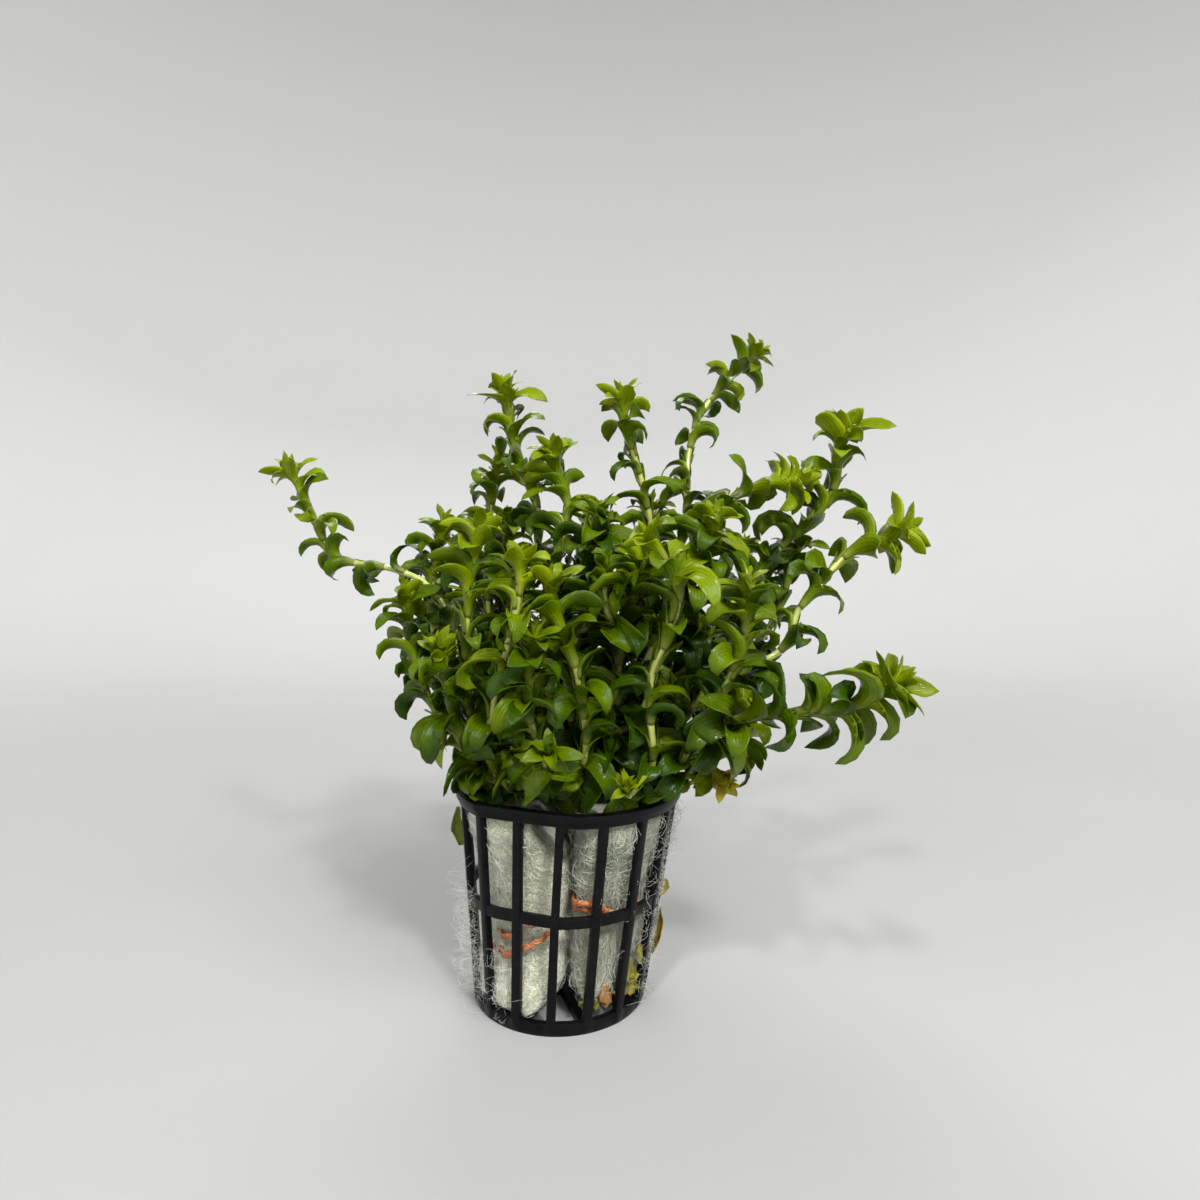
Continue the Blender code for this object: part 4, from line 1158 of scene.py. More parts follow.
def leafy_stem(name, route, nodes, extra, shoots, stem_index, materials):
    """One stem: its tube, its planned leaves, the fill between them, its side shoots and its rosettes."""
    rng = np.random.default_rng(STEM_SEED + stem_index)
    shape = Shape()
    base_tone = STEM_TONES.get(name, 0.32 + 0.2 * math.sin(2.1 * stem_index))
    stem_tube(shape, route, nodes, base_tone)
    long_share, wide_share = LEAF_SCALES.get(name, (1.0, 1.0))
    leaves = [(*node, index, FULL_GRID) for index, node in enumerate(nodes) if node[2] is not None]
    leaves += [(*spot, PLAIN_GRID if name in DENSE_STEMS else FULL_GRID) for spot in extra]
    for root, direction, leaf, index, grid in leaves:
        leaf = {**leaf, "length": leaf["length"] * long_share, "width": leaf["width"] * wide_share}
        tone = leaf_tone(name, base_tone, index, len(nodes), rng)
        add_leaf(shape, root, direction, leaf, grip_at(index), SHEATH_LENGTH, tone, rng, grid)
    rosette(shape, ROSETTES.get(name, ROSETTE), nodes[0], base_tone, rng)
    if name in PLANTLETS:
        path, form, tone = PLANTLETS[name]
        points = branch(route, path)
        tip = (points[-1], (points[-1] - points[-2]).normalized(), None)
        stem_tube(shape, np.array(points), [tip], tone)
        rosette(shape, form, tip, tone, rng)
    for line, shoot_nodes in shoots:
        stem_tube(shape, line, shoot_nodes, base_tone)
        for index, (root, direction, leaf) in enumerate(shoot_nodes):
            if leaf is not None:
                tone = base_tone + 0.2 * rng.random()
                add_leaf(shape, root, direction, leaf, grip_at(index), SHEATH_LENGTH, tone, rng, PLAIN_GRID)
        rosette(shape, SHOOT_ROSETTE, shoot_nodes[0], base_tone - 0.2, rng)
    return shape.make("fine_stem_" + name, materials)


# Pot

def pot_corners(points, columns, radius, heights, wall=0.0, step=0.0, rib_proud=0.0):
    """Adds an outer and an inner corner for each column of the lattice, and returns their numbers."""
    first = len(points)
    for centre, offset, share, proud in columns:
        azimuth = centre + offset / radius + share * (RIB_PITCH - RIB_WIDTH / radius)
        outer = polar(radius + step + proud * rib_proud, azimuth, heights[0])
        points.append((outer, polar(radius - wall, azimuth, heights[1])))
    return list(range(first, len(points)))


def fine_pot(materials):
    """The lattice pot with rounded ribs that stand a little proud of its rings."""
    columns = []
    for rib in range(RIB_COUNT):
        centre = RIB_PHASE + rib * RIB_PITCH
        columns += [(centre, place * RIB_WIDTH / 2, 0.0, proud) for place, proud in RIB_SECTION]
        shares = [k / (WINDOW_COLUMNS + 1) for k in range(1, WINDOW_COLUMNS + 1)]
        columns += [(centre, RIB_WIDTH / 2, share, 0.0) for share in shares]
    total = len(columns)
    per_rib = total // RIB_COUNT
    points, cells = [], []
    grid = [pot_corners(points, columns, pot_radius(z), (z, inner_z), POT_WALL, step, proud)
            for z, step, inner_z, _, proud in FINE_ROWS]
    for row in range(len(FINE_ROWS) - 1):
        for col in range(total):
            if FINE_ROWS[row][3] or col % per_rib < len(RIB_SECTION) - 1:
                nxt = (col + 1) % total
                cells.append((grid[row][col], grid[row][nxt], grid[row + 1][nxt], grid[row + 1][col]))
    base = (0.0, BASE_THICKNESS)
    ring = pot_corners(points, columns, BASE_RING_INNER, base)
    for col in range(total):
        nxt = (col + 1) % total
        cells.append((grid[0][nxt], grid[0][col], ring[col], ring[nxt]))
    hub = []
    for first in range(per_rib, total, 2 * per_rib):
        tips = pot_corners(points, columns[first:first + len(RIB_SECTION)], HUB_RADIUS, base)
        for k in range(len(tips) - 1):
            cells.append((ring[first + k + 1], ring[first + k], tips[k], tips[k + 1]))
        hub += tips
    cells.append(tuple(reversed(hub)))
    shift = len(points)
    faces = list(cells) + [tuple(i + shift for i in reversed(cell)) for cell in cells]
    edges = {(a, b) for cell in cells for a, b in zip(cell, cell[1:] + cell[:1])}
    faces += [(b, a, a + shift, b + shift) for a, b in sorted(edges) if (b, a) not in edges]
    corners = [tuple(c * MM for c in pair[skin]) for skin in (0, 1) for pair in points]
    obj = link_mesh("fine_net_pot", corners, faces, materials)
    bevel = obj.modifiers.new("edges", "BEVEL")
    bevel.width = POT_BEVEL * MM
    bevel.segments = 2
    bevel.limit_method = "ANGLE"
    bevel.angle_limit = BEVEL_ANGLE
    return obj


# Wool

def near_rib(azimuth):
    """1 at a rib's middle, 0 in the middle of a window."""
    offset = (azimuth - RIB_PHASE + RIB_PITCH / 2) % RIB_PITCH - RIB_PITCH / 2
    return math.cos(offset * RIB_COUNT / 2) ** 2


def wool_relief(side, angle, z):
    """How far the wool stands out: pressed by ribs and band, bulging in the windows, uneven all over."""
    x, y, _ = wool_surface(side, angle, z)
    x -= RIM_SHIFT * z / POT_HEIGHT
    azimuth = math.atan2(x, -y)
    outside = max(0.0, 1.0 - (pot_radius(z) - POT_WALL - WOOL_GAP - math.hypot(x, y)) / 3.0)
    to_band = min(abs(z - tie_height(side, angle + turn)) for turn in (0.0, math.tau))
    free = smooth_step(2.0, 6.0, to_band)
    relief = outside * free * (WOOL_SPREAD + WOOL_BULGE * (1.0 - near_rib(azimuth)))
    place = Vector((x + RIM_SHIFT * z / POT_HEIGHT, y, z))
    relief += 0.32 * noise.noise(place * 0.28) + 0.16 * noise.noise(place * 0.8 + Vector((7, 0, 0)))
    relief -= WOOL_PINCH * math.exp(-to_band ** 2 / 1.6)
    if side == "right":
        relief -= BITE * math.exp(-((azimuth - BITE_BEARING) / 0.24) ** 2) * (1.0 - smooth_step(8.0, 14.0, z))
    return relief


def meeting_place(z):
    """Where the two rolls press together, left or right of the pot's middle, at a height."""
    return MEETING[0] + (MEETING[1] - MEETING[0]) * smooth_step(*MEETING_HEIGHTS, z)


def inner_edge(side, y, z):
    """Where a roll's inner side stands: pressed to the other, open in front at the top, round at the foot."""
    foot = WOOL_FOOT[side]
    edge = ROLL_SIDE[side] * meeting_place(z) - MEETING_OVERLAP
    edge += FOOT_TUCK[side] * (1.0 - smooth_step(foot, foot + FOOT_TUCK_HEIGHT, z)) ** 1.5
    if side == "right":
        edge += WEDGE * smooth_step(*WEDGE_HEIGHTS, z) * smooth_step(*WEDGE_DEPTHS, y)
    return edge


def wool_point(side, angle, z, inset):
    """A point of the fine wool: its inner side meets the other roll, and one roll is set back at the top."""
    x, y, _ = wool_surface(side, angle, z, wool_relief(side, angle, z) - inset)
    sign = ROLL_SIDE[side]
    squeezed = RIM_SHIFT * z / POT_HEIGHT
    share = 1.0 - smooth_step(0.9, 9.5, sign * (x - squeezed))
    near = WOOL_HALF_SPLIT + WAIST_NEAR_SHARE * waist(z)
    x += sign * share * (inner_edge(side, y, z) - near)
    if side == "right" and y < 0:
        back = smooth_step(*WEDGE_HEIGHTS, z) * (1.0 - smooth_step(-1.5, 8.5, x - squeezed))
        y += SET_BACK * back * smooth_step(-2.0, -12.0, y)
    return x, y, z


def rounding(depth, radius):
    """How far a rounded edge is set in at a depth below its end."""
    return radius * (1.0 - math.sqrt(max(0.0, 1.0 - (depth / radius - 1.0) ** 2))) if depth < radius else 0.0


def wool_grid(side):
    """Points of the roll's outside, from its foot to its top."""
    foot = WOOL_FOOT[side]
    rows = []
    for z in np.linspace(foot, WOOL_TOP, WOOL_ROWS):
        inset = rounding(z - foot, FOOT_ROUND) + rounding(WOOL_TOP - z, TOP_ROUND)
        rows.append([wool_point(side, math.tau * i / WOOL_AROUND, z, inset) for i in range(WOOL_AROUND)])
    return np.array(rows)


def cap_rows(edge, height_step, count, seed):
    """Rows that close a ring of points towards its middle, uneven like torn wool."""
    centre = edge.mean(axis=0)
    rows = []
    for k in range(1, count + 1):
        share = 1.0 - k / (count + 0.15)
        row = centre + (edge - centre) * share
        for i, p in enumerate(row):
            rough = 0.7 * noise.noise(Vector(p) * 0.5 + Vector((0, 0, seed)))
            p[2] = edge[i][2] + height_step * (1 - share) + rough
        rows.append(row)
    return rows


def wool_shade_and_stain(side, points):
    """How dark and how green the wool is at points: painted shade in the gap between the rolls and at the
    right roll's foot, the right roll's front a little darker all over, green in one place.
    """
    x, y, z = np.asarray(points).reshape(-1, 3).T
    # Painted shade in the gap where the rolls meet, strongest near the top of the wool
    top = smooth_step(*WEDGE_HEIGHTS, z)
    edge = x - meeting_place(z)
    if side == "left":
        dark = top * np.exp(-(edge / 2.0) ** 2)
        green = np.zeros(len(x))
    else:
        dark = top * np.exp(-((edge - 1.5) / 3.8) ** 2)
        # Painted shadow at the foot of the right roll
        low = 0.5 * np.exp(-((x - 4.0) / 3.0) ** 2 - ((z - 9.0) / 5.0) ** 2)
        # Besides the painted shade, the right roll's whole front is made a little darker
        dark = 0.42 + 0.58 * np.maximum(dark, low)
        green = np.exp(-((x - STAIN_PLACE[0]) / 2.6) ** 2 - ((z - STAIN_PLACE[1]) / 3.0) ** 2)
    front = smooth_step(15.0, 8.0, y)
    return np.stack([dark * front, green * front, np.full(len(x), 0.5)], axis=1)


def wool_roll_fine(side, materials):
    grid = wool_grid(side)
    low = cap_rows(grid[0], 0.3, 6, 3.0)
    high = cap_rows(grid[-1], -0.8, 8, 9.0)
    rows = np.concatenate([low[::-1], grid, high])
    points = rows.reshape(-1, 3)
    shape = Shape()
    shape.add(points, grid_faces(len(rows), WOOL_AROUND, closed=True), 0, wool_shade_and_stain(side, points))
    shape.cap(range(WOOL_AROUND - 1, -1, -1))
    shape.cap(range(len(points) - WOOL_AROUND, len(points)))
    surface_fibres(shape, side, grid)
    stray_fibres(shape, side)
    return shape.make("fine_wool_roll_" + side, materials)


def sample_grid(grid, column, row):
    """Points of the wool's outside at fractional columns, which wrap round, and rows."""
    rows, columns = grid.shape[:2]
    row = np.clip(row, 0, rows - 1.001)
    r0 = np.floor(row).astype(int)
    c0 = np.floor(column).astype(int)
    fr, fc = (row - r0)[..., None], (column - c0)[..., None]
    c0, c1 = c0 % columns, (c0 + 1) % columns
    low = grid[r0, c0] * (1 - fc) + grid[r0, c1] * fc
    high = grid[r0 + 1, c0] * (1 - fc) + grid[r0 + 1, c1] * fc
    return low * (1 - fr) + high * fr


def surface_fibres(shape, side, grid):
    """Loose fibres lying over the wool at every bearing, darker where the wool under them is darkened, mostly
    by painted shade.
    """
    seed, count, lift_limit, arch_spread = FIBRES[side]
    rng = np.random.default_rng(seed)
    rows, columns = grid.shape[:2]
    normals = unit(np.cross(np.roll(grid, -1, axis=1) - np.roll(grid, 1, axis=1), np.gradient(grid, axis=0)))
    column = rng.random(count) * columns
    row = rng.random(count) * (rows - 1)
    heading = (rng.random(count) * math.tau)[:, None]
    length = rng.uniform(*FIBRE_LENGTHS, count)[:, None]
    bend = rng.normal(0.0, FIBRE_BEND, count)[:, None]
    lift = rng.uniform(0.0, lift_limit, count)[:, None]
    arch = np.abs(rng.normal(0.0, arch_spread, count))[:, None]
    t = np.linspace(0.0, 1.0, FIBRE_POINTS)
    angle = heading + bend * (t - 0.5)
    steps = np.stack([np.cos(angle), np.sin(angle)]) * length / (FIBRE_POINTS - 1)
    run = np.cumsum(steps, axis=2) - steps
    girth = np.linalg.norm(np.roll(grid, -1, axis=1) - grid, axis=2).mean()
    height = np.linalg.norm(grid[-1, 0] - grid[0, 0]) / (rows - 1)
    column = column[:, None] + run[0] / girth
    row = row[:, None] + run[1] / height
    keep = ((row > 0.5) & (row < rows - 1.5)).all(axis=1)
    normal = unit(sample_grid(normals, column, row))
    rise = lift + arch * np.sin(math.pi * t) ** 1.5 * 2.0 + 0.06 + 0.048 * np.sin(t * 9 + heading * 5)
    place = sample_grid(grid, column, row) + normal * rise[..., None]
    aside = unit(np.cross(np.gradient(place, axis=1), normal))
    taper = np.where((t == 0.0) | (t == 1.0), 0.4, 1.0)
    radius = FIBRE_RADIUS * (0.7 + 0.6 * rng.random(count))[:, None] * taper
    angles = (np.arange(3) / 3 * math.tau)[:, None]
    ring = normal[:, :, None] * np.cos(angles) + aside[:, :, None] * np.sin(angles)
    points = (place[:, :, None] + ring * radius[..., None, None])[keep]
    dark = wool_shade_and_stain(side, place[:, FIBRE_POINTS // 2])[:, 0]
    # Fibres take the painted shade of the wool beneath them
    tones = (0.2 + 0.8 * rng.random(count)) * (1.0 - 0.9 * dark)
    number = len(points)
    base = np.array(grid_faces(FIBRE_POINTS, 3, closed=True))
    faces = (base + (np.arange(number) * FIBRE_POINTS * 3)[:, None, None]).reshape(-1, 4)
    values = np.zeros((number, FIBRE_POINTS * 3, 3))
    values[..., 2] = tones[keep, None]
    shape.add(points, faces, 1, values.reshape(-1, 3))


def stray_fibres(shape, side):
    """Fine curly fibres that have worked out through the windows at one side of the pot."""
    seed, groups = STRAYS[side]
    rng = np.random.default_rng(seed)
    t = np.linspace(0.0, 1.0, STRAY_POINTS)
    ends = np.minimum(t, t[::-1])
    taper = np.minimum(1.0, 0.35 + 4 * ends)
    for azimuth, spread, low, high, reach, count in groups:
        start = azimuth + spread * rng.uniform(-1, 1, count)
        z_start = rng.uniform(low, high, count)
        heading = rng.random(count) * math.tau
        bend = rng.normal(0.0, STRAY_BEND, count)
        length = rng.uniform(*STRAY_LENGTHS, count)
        out = rng.uniform(0.05, 1.0, count) ** 2.4 * reach
        if side == "right":
            out = out * (1.0 - STRAY_CLEAR * span_of(z_start, *STRAY_CLEAR_HEIGHTS))
        for i in range(count):
            angle = heading[i] + bend[i] * t
            step = length[i] / STRAY_POINTS
            run_x = np.cumsum(np.cos(angle)) * step
            z = np.clip(z_start[i] + np.cumsum(np.sin(angle)) * step, 1.0, WOOL_TOP)
            rise = -2.2 + (2.6 + out[i]) * np.sin(math.pi * (0.08 + 0.86 * t)) ** 0.8
            rise = rise + 0.35 * np.sin(t * 11 + heading[i]) * np.minimum(1.0, 3.0 * t)
            radius = pot_radius(z)
            bearing = start[i] + run_x / radius
            line = np.array([polar(*place) for place in zip(radius + rise, bearing, z)])
            width = STRAY_RADIUS * (0.7 + 0.6 * rng.random())
            round_tube(shape, line, width * taper, 3, ACROSS_STRAYS, 0.5 + 0.5 * rng.random())


# Ties

def settle_tie(side, path):
    """Sags the band where it is loose, and sinks it into the wool where the wool has closed over it."""
    x, y = path[:, 0].copy(), path[:, 1].copy()
    turn = np.arange(len(path)) / len(path) * 2 * math.tau
    upper = np.cos(tie_crossing(side, turn)) > 0.0
    front = smooth_step(6.0, 0.0, y)
    if side == "left":
        path[:, 2] += np.where(upper, 0.0, 0.30 * (x + 7.0)) * front
        shown = np.where(upper, span_of(x, -11.8, -7.6), span_of(x, -11.6, 0.0))
    else:
        path[:, 2] -= (3.0 * np.exp(-((x - 1.0) / 3.0) ** 2) + 1.2 * smooth_step(8.0, 13.0, x)) * front
        shown = span_of(x, 3.2, 16.2)
    out = unit(np.stack([x - ROLL_SIDE[side] * 10.0, y], axis=1))
    path[:, :2] -= out * (TIE_SINK * front * (1.0 - shown))[:, None]


def span_of(value, low, high):
    """1 between two values, fading to 0 beyond them."""
    return smooth_step(low - 0.8, low + 0.4, value) * (1.0 - smooth_step(high - 0.4, high + 0.8, value))


def fine_tie(side, materials):
    """A flat elastic band, slightly uneven, on the same line as its solid."""
    count, sides = TIE_FINE
    path = np.array([tie_point(side, 2 * math.tau * i / count) for i in range(count)])
    path[:, 2] += 0.12 * np.sin(np.arange(count) * 0.9)
    settle_tie(side, path)
    along = unit(np.roll(path, -1, axis=0) - np.roll(path, 1, axis=0))
    out = unit(np.cross(along, np.array([0.0, 0.0, 1.0])))
    up = np.cross(out, along)
    angles = np.arange(sides) / sides * math.tau
    lumps = 1.0 + 0.16 * np.random.default_rng(TIE_SEED).standard_normal((count, sides))
    wide, tall = [np.abs(w) ** 0.8 * np.sign(w) for w in (np.cos(angles), np.sin(angles))]
    spokes = out[:, None] * (TIE_HALF[0] * wide * lumps)[..., None]
    spokes = spokes + up[:, None] * (TIE_HALF[1] * tall * lumps)[..., None]
    faces = grid_faces(count, sides, closed=True)
    last = (count - 1) * sides
    faces += [(last + k, last + (k + 1) % sides, (k + 1) % sides, k) for k in range(sides)]
    shape = Shape()
    shape.add(path[:, None] + spokes, [face[::-1] for face in faces])
    return shape.make("fine_tie_" + side, materials)


# Loose leaves

def fine_loose_leaf(name, azimuth, height, lean, length, width, materials):
    """A cupped two-skinned leaf beside the pot, one edge against it and the other lifted off."""
    lift, flip, spread, tone = LOOSE_LOOKS[name]
    half = width * spread / 2

    def place(share, u):
        part = half * np.interp(share, *zip(*LOOSE_STATIONS))
        z = height + share * length * math.cos(lean)
        radius = pot_radius(z)
        swing = (share * length * math.sin(lean) + u * part * math.cos(lift)) / radius
        away = radius + 0.2 + RIM_LOWER_STEP * smooth_step(RIM_BOTTOM - 3.0, RIM_BOTTOM, z)
        away += (1 + flip * u) * part * math.sin(lift) + 0.5 * share * share
        away += 0.35 * part / half * (1 - u * u) + 0.1 * math.sin(5 * share + 2 * u)
        away += 0.12 * math.sin(13 * share + u) * abs(u)
        return polar(away + 0.1, azimuth + swing, z), polar(away - 0.1, azimuth + swing, z)

    shape = Shape()
    two_skins(shape, 16, 9, tone, place)
    return shape.make("fine_" + name, materials)


def leaf_bits(materials):
    """Torn bits of old leaf caught in the pot at the foot of the right roll."""
    shape = Shape()
    rng = np.random.default_rng(BITS_SEED)
    up = np.array([0.0, 0.0, 1.0])
    for azimuth, inward, height, length, width, turn, tone in BITS:
        centre = np.array(polar(pot_radius(height) - POT_WALL - inward, azimuth, height))
        out = np.array([math.sin(azimuth), -math.cos(azimuth), 0.0])
        aside = np.array([math.cos(azimuth), math.sin(azimuth), 0.0])
        run = aside * math.cos(turn) + up * math.sin(turn)
        over = up * math.cos(turn) - aside * math.sin(turn)
        phase = rng.random(3) * math.tau

        def place(v, u):
            part = math.sin(math.pi * (0.12 + 0.80 * v)) ** 0.7 * (1.0 + 0.25 * math.sin(9 * v + phase[0]))
            ruffle = 0.35 * math.sin(6 * v + 2.5 * u + phase[1])
            ruffle += 0.5 * (1 - u * u) * math.sin(3 * v + phase[2])
            edge = 1.0 + 0.2 * math.sin(23 * v + phase[1]) * abs(u)
            point = centre + run * (v - 0.5) * length + over * u * width / 2 * part * edge + out * ruffle
            return point + out * 0.09, point - out * 0.09

        two_skins(shape, 9, 6, tone, place)
    return shape.make("leaf_bits", materials)


# Materials

class Nodes:
    """A material in the making: its tree, its main shader and short ways to add nodes."""

    def __init__(self, name):
        self.material = bpy.data.materials.new(name)
        self.material.use_nodes = True
        self.tree = self.material.node_tree
        self.shader = self.tree.nodes["Principled BSDF"]

    def wire(self, made, sockets):
        """Links each socket to another node's output, or sets it to a number or a colour."""
        for key, value in sockets.items():
            socket = made.inputs[key]
            if isinstance(value, bpy.types.NodeSocket):
                self.tree.links.new(value, socket)
            else:
                socket.default_value = (*value, 1.0) if socket.type == "RGBA" else value
        return made

    def add(self, kind, sockets, **settings):
        made = self.tree.nodes.new("ShaderNode" + kind)
        for key, value in settings.items():
            setattr(made, key, value)
        return self.wire(made, sockets)

    def finish(self, sockets):
        self.wire(self.shader, sockets)
        return self.material

    def math(self, operation, a, b=0.0):
        return self.add("Math", {0: a, 1: b}, operation=operation).outputs[0]

    def total(self, first, *others):
        """The sum of values, each times its weight."""
        made = self.math("MULTIPLY", *first)
        for other in others:
            made = self.math("ADD", made, self.math("MULTIPLY", *other))
        return made

    def span(self, value, low, high, to_low=0.0, to_high=1.0):
        sockets = {"Value": value, "From Min": low, "From Max": high, "To Min": to_low, "To Max": to_high}
        return self.add("MapRange", sockets, interpolation_type="SMOOTHSTEP").outputs["Result"]

    def ramp(self, factor, stops):
        """Colour of a factor between stops of (place, colour)."""
        made = self.add("ValToRGB", {"Fac": factor})
        elements = made.color_ramp.elements
        while len(elements) < len(stops):
            elements.new(0.5)
        for element, (place, colour) in zip(elements, stops):
            element.position = place
            element.color = (*colour, 1.0)
        return made.outputs["Color"]

    def mix(self, factor, a, b, blend="MIX"):
        return self.add("Mix", {0: factor, 6: a, 7: b}, data_type="RGBA", blend_type=blend).outputs[2]

    def shade(self, colour, value):
        """A colour made darker or lighter by a value."""
        grey = self.add("CombineColor", {0: value, 1: value, 2: value}).outputs[0]
        return self.mix(1.0, colour, grey, "MULTIPLY")

    def grain(self):
        """The three values kept for each point of a piece."""
        vector = self.add("Attribute", {}, attribute_name="grain").outputs["Vector"]
        return self.add("SeparateXYZ", {0: vector}).outputs

    def noise(self, scale, detail=3.0, stretch=(1.0, 1.0, 1.0)):
        """Noise in the model's own coordinates; scale is in features per metre."""
        place = self.add("TexCoord", {}).outputs["Object"]
        place = self.add("Mapping", {"Vector": place, "Scale": stretch}).outputs[0]
        sockets = {"Vector": place, "Scale": scale, "Detail": detail, "Roughness": NOISE_ROUGHNESS}
        return self.add("TexNoise", sockets).outputs["Fac"]

    def bump(self, height, distance, strength, after=None):
        sockets = {"Height": height, "Distance": distance, "Strength": strength}
        if after is not None:
            sockets["Normal"] = after
        return self.add("Bump", sockets).outputs["Normal"]


def leaf_material():
    """Wet glossy leaf: deep to yellow-green by tone, pale at the sheath, with fine parallel veins."""
    n = Nodes("leaf")
    across, along, tone = n.grain()
    patches = n.math("SUBTRACT", n.noise(260.0), 0.5)
    colour = n.ramp(n.total((tone, 0.55), (patches, 0.30), (along, -0.10)), LEAF_RAMP)
    veins = n.math("SINE", n.math("MULTIPLY", across, 24.0))
    colour = n.shade(colour, n.span(veins, -1.0, 1.0, 0.86, 1.06))
    colour = n.mix(n.span(along, 0.16, -0.10, 0.0, 0.62), colour, PALE_SHEATH)
    ridge = n.bump(veins, 0.00005, 0.35)
    normal = n.bump(n.noise(800.0), 0.0003, 0.45, ridge)
    n.finish({
        "Base Color": colour,
        "Normal": normal,
        "Roughness": n.span(n.noise(900.0, 2.0), 0.3, 0.7, 0.22, 0.38),
        "IOR": 1.40,
        "Specular IOR Level": 0.12,
        "Coat Weight": 0.75,
        "Coat IOR": 1.34,
        "Coat Roughness": 0.045,
        "Coat Normal": n.bump(n.noise(1200.0, 2.0), 0.0005, 0.6, ridge),
    })
    glow = n.add("BsdfTranslucent", {"Color": colour, "Normal": normal})
    both = n.add("MixShader", {0: 0.42, 1: n.shader.outputs[0], 2: glow.outputs[0]})
    n.wire(n.tree.nodes["Material Output"], {"Surface": both.outputs[0]})
    return n.material


def stem_material():
    """Pale yellow-green stem with lengthwise streaks, darker and browner in places."""
    n = Nodes("stem")
    streaks = n.noise(420.0, 3.0, (1.0, 1.0, 0.2))
    return n.finish({
        "Base Color": n.ramp(n.total((streaks, 0.8), (n.grain()[2], 0.2)), STEM_RAMP),
        "Normal": n.bump(streaks, 0.0001, 0.5),
        "Roughness": 0.34,
        "Subsurface Weight": 0.3,
        "Subsurface Radius": (1.0, 1.0, 0.4),
        "Subsurface Scale": 0.001,
        "Coat Weight": 0.5,
        "Coat Roughness": 0.1,
    })


def old_leaf_material():
    """Yellowed, browning leaf with dark veins and blotches."""
    n = Nodes("old_leaf")
    across, _, tone = n.grain()
    veins = n.math("SINE", n.math("MULTIPLY", across, 20.0))
    return n.finish({
        "Base Color": n.ramp(n.total((n.noise(500.0, 4.0), 0.7), (tone, 0.5)), OLD_RAMP),
        "Normal": n.bump(veins, 0.00005, 0.6),
        "Roughness": 0.4,
        "Subsurface Weight": 0.25,
        "Subsurface Radius": (1.0, 0.8, 0.2),
        "Subsurface Scale": 0.0008,
        "Coat Weight": 0.3,
        "Coat Roughness": 0.15,
    })


def wool_material():
    """Pressed filter wool: matted fibre grain in three directions, greyer and greener in patches, and painted
    shade in the gap between the rolls and at the right roll's foot.
    """
    n = Nodes("wool")
    dark, green, _ = n.grain()
    grains = [n.noise(3600.0, 3.0, stretch) for stretch in WOOL_STRETCHES]
    grain = n.math("MAXIMUM", n.math("MAXIMUM", grains[0], grains[1]), grains[2])
    colour = n.shade(n.ramp(n.noise(95.0), WOOL_RAMP), n.span(grain, 0.45, 0.72, 0.48, 1.10))
    colour = n.mix(green, colour, WOOL_GREEN, "MULTIPLY")
    # Painted shade: darkens the wool in the gap between the rolls, at the right roll's foot and a little over
    # the right roll's front
    colour = n.mix(dark, colour, WOOL_DARK, "MULTIPLY")
    normal = n.bump(grain, 0.00045, 1.0)
    return n.finish({"Base Color": colour, "Normal": normal, "Roughness": 0.85, "Sheen Weight": 0.25})


def fibre_material():
    """Single fibres: white to grey by their tone, with a soft gleam."""
    n = Nodes("fibre")
    roughness = n.span(n.noise(800.0), 0.3, 0.7, 0.35, 0.6)
    return n.finish({"Base Color": n.ramp(n.grain()[2], FIBRE_RAMP), "Roughness": roughness})


def tie_material():
    """Orange elastic band with fibrous streaks, darker where it is wet."""
    n = Nodes("tie_band")
    streaks = n.noise(1600.0, 4.0, (1.0, 1.0, 2.2))
    patches = n.noise(180.0, 2.0)
    return n.finish({
        "Base Color": n.ramp(n.total((streaks, 0.65), (patches, 0.35)), TIE_RAMP),
        "Normal": n.bump(streaks, 0.0003, 0.7),
        "Roughness": n.span(patches, 0.3, 0.7, 0.32, 0.55),
        "Coat Weight": 0.25,
        "Coat Roughness": 0.2,
    })


def pot_material():
    """Soft black moulded plastic, satin, scuffed and dusted in places."""
    n = Nodes("pot_plastic")
    dust = n.noise(130.0, 5.0)
    fine = n.noise(2600.0, 2.0)
    specks = n.math("MULTIPLY", n.span(fine, 0.70, 0.76), 0.3)
    return n.finish({
        "Base Color": n.mix(specks, n.ramp(dust, POT_RAMP), POT_DUST),
        "Normal": n.bump(fine, 0.00005, 0.3),
        "Roughness": n.span(dust, 0.3, 0.7, 0.26, 0.42),
        "Specular IOR Level": 0.13,
    })


def floor_material():
    """Pale paper, a little greyer under the object as painted shade, and faintly mottled."""
    n = Nodes("floor")
    place = n.add("TexCoord", {}).outputs["Object"]
    away = n.add("VectorMath", {0: place}, operation="LENGTH").outputs["Value"]
    away = n.math("ADD", away, n.math("MULTIPLY", n.noise(5.0, 2.0), 0.08))
    # Painted shade: greyer near the object, paler further off
    colour = n.mix(n.span(away, 0.1, 1.1), FLOOR_NEAR_SHADE, FLOOR_FAR)
    return n.finish({"Base Color": colour, "Roughness": 0.75, "Specular IOR Level": 0.2})


# Stage, lights and camera

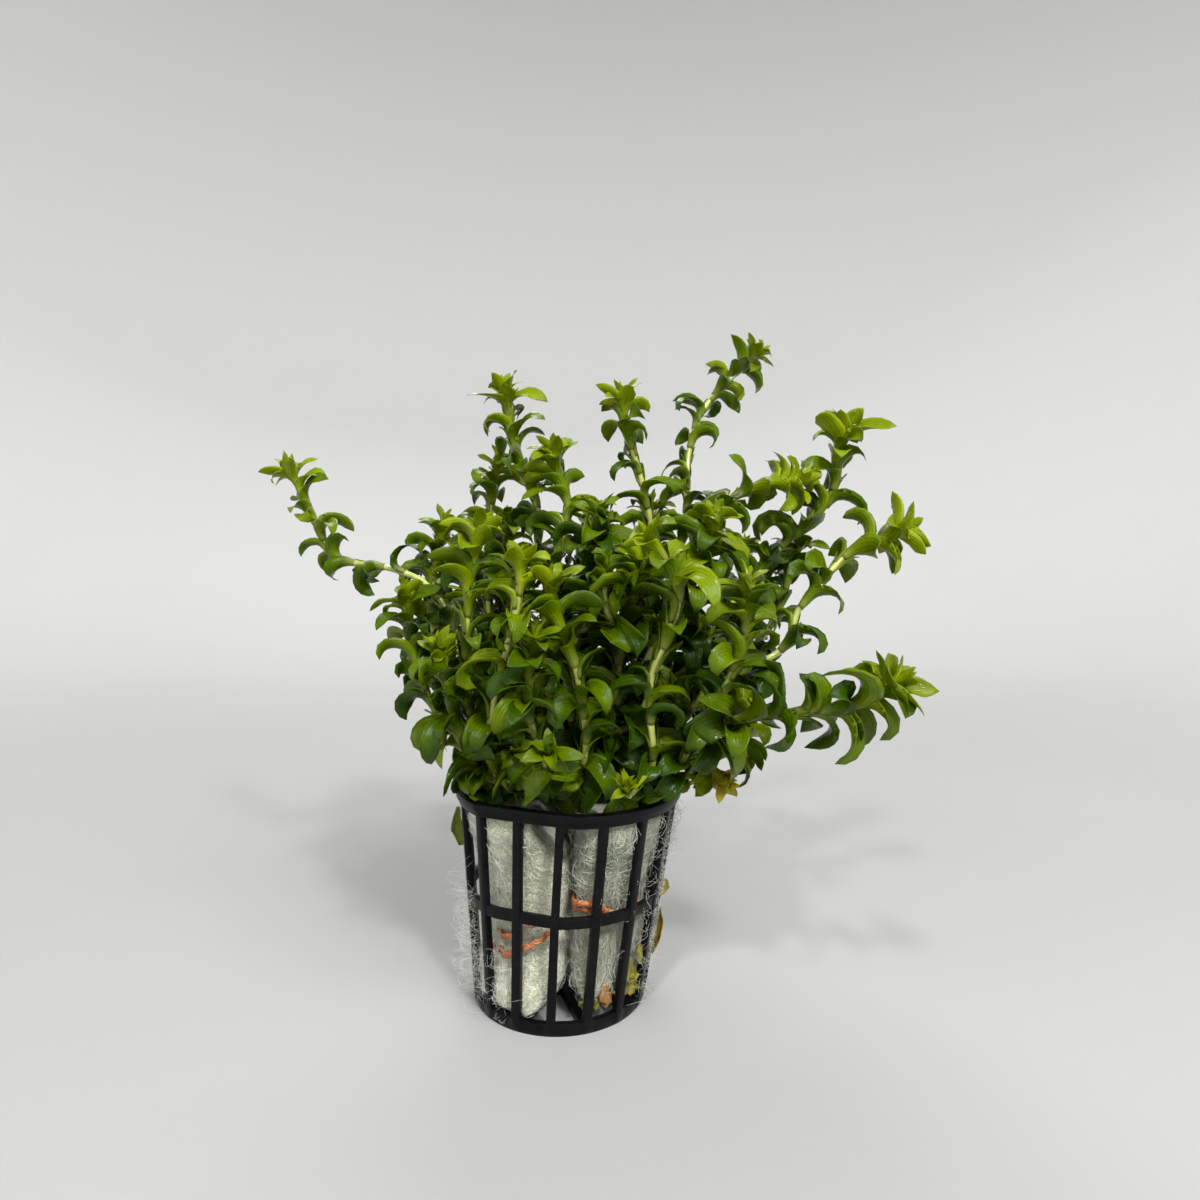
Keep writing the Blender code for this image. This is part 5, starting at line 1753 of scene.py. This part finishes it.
def stage():
    """A pale floor that curves up into a wall all round."""
    profile = [(FLOOR_RADIUS * k / 4, 0.0) for k in range(1, 5)]
    for k in range(1, 13):
        angle = math.pi / 2 * k / 12
        profile.append((FLOOR_RADIUS + WALL_BEND * math.sin(angle), WALL_BEND * (1 - math.cos(angle))))
    profile.append((FLOOR_RADIUS + WALL_BEND, WALL_HEIGHT))
    turns = [math.tau * i / FLOOR_SIDES for i in range(FLOOR_SIDES)]
    points = [(0.0, 0.0, 0.0)]
    for radius, z in profile:
        points += [(radius * math.cos(turn), radius * math.sin(turn), z) for turn in turns]
    faces = [(0, 1 + i, 1 + (i + 1) % FLOOR_SIDES) for i in range(FLOOR_SIDES)]
    for i, j, above_j, above_i in grid_faces(len(profile), FLOOR_SIDES, closed=True):
        faces.append((1 + i, 1 + above_i, 1 + above_j, 1 + j))
    link_mesh("floor", points, faces, [floor_material()])


def area_light(name, place, size, power, colour):
    data = bpy.data.lights.new(name, "AREA")
    data.shape = "DISK"
    data.size = size
    data.energy = power
    data.color = colour
    obj = bpy.data.objects.new(name, data)
    obj.location = place
    obj.rotation_mode = "QUATERNION"
    obj.rotation_quaternion = (Vector(AIM) - Vector(place)).to_track_quat("-Z", "Y")
    obj.visible_camera = False
    bpy.context.collection.objects.link(obj)


def lights():
    for light in LIGHTS:
        area_light(*light)
    world = bpy.data.worlds.new("studio")
    world.use_nodes = True
    background = world.node_tree.nodes["Background"]
    background.inputs["Color"].default_value = (*WORLD_COLOUR, 1.0)
    background.inputs["Strength"].default_value = WORLD_STRENGTH
    bpy.context.scene.world = world
    bpy.context.scene.view_settings.view_transform = "Standard"


def camera():
    data = bpy.data.cameras.new("camera")
    data.lens = CAMERA_LENS
    data.sensor_width = CAMERA_SENSOR
    data.sensor_fit = "HORIZONTAL"
    data.clip_start = 0.005
    data.clip_end = 20.0
    obj = bpy.data.objects.new("camera", data)
    right = Vector((1, 0, 0))
    up = Vector((0, math.sin(CAMERA_PITCH), math.cos(CAMERA_PITCH)))
    forward = Vector((0, math.cos(CAMERA_PITCH), -math.sin(CAMERA_PITCH)))
    cos_roll, sin_roll = math.cos(CAMERA_ROLL), math.sin(CAMERA_ROLL)
    x_axis = right * cos_roll + up * sin_roll
    y_axis = up * cos_roll - right * sin_roll
    turn = Matrix((x_axis, y_axis, -forward)).transposed()
    obj.matrix_world = Matrix.Translation(Vector(CAMERA_PLACE) * MM) @ turn.to_4x4()
    bpy.context.collection.objects.link(obj)
    bpy.context.scene.camera = obj


# The object

def dress(piece, slot, *nodes):
    """The piece rides with the body and stands for its solids, which are hidden; the slot is not used."""
    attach(piece, "root")
    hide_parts(*nodes)
    return piece


def main():
    camera()
    stage()
    lights()
    dress(fine_pot([pot_material()]), "pot_plastic", "net_pot")
    wool, fibre = wool_material(), fibre_material()
    band = tie_material()
    for side in ROLL_SIDE:
        roll = dress(wool_roll_fine(side, [wool, fibre]), "wool", "wool_roll_" + side)
        dress(fine_tie(side, [band]), "tie_band", "tie_" + side)
    leaf, stem = leaf_material(), stem_material()
    routes = stem_routes()
    plan = grow_leaves(routes)
    filled, shoots = fill_leaves(routes, plan)
    for stem_index, (name, nodes) in enumerate(plan.items()):
        piece = leafy_stem(name, routes[name], nodes, filled[name], shoots[name], stem_index, [leaf, stem])
        dress(piece, "leafy_stem", "stem_" + name)
    old = old_leaf_material()
    for name, placing in LOOSE_LEAVES.items():
        dress(fine_loose_leaf(name, *placing, [old]), "old_leaf", name)
    bits = leaf_bits([old])
    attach(bits, "root")


main()
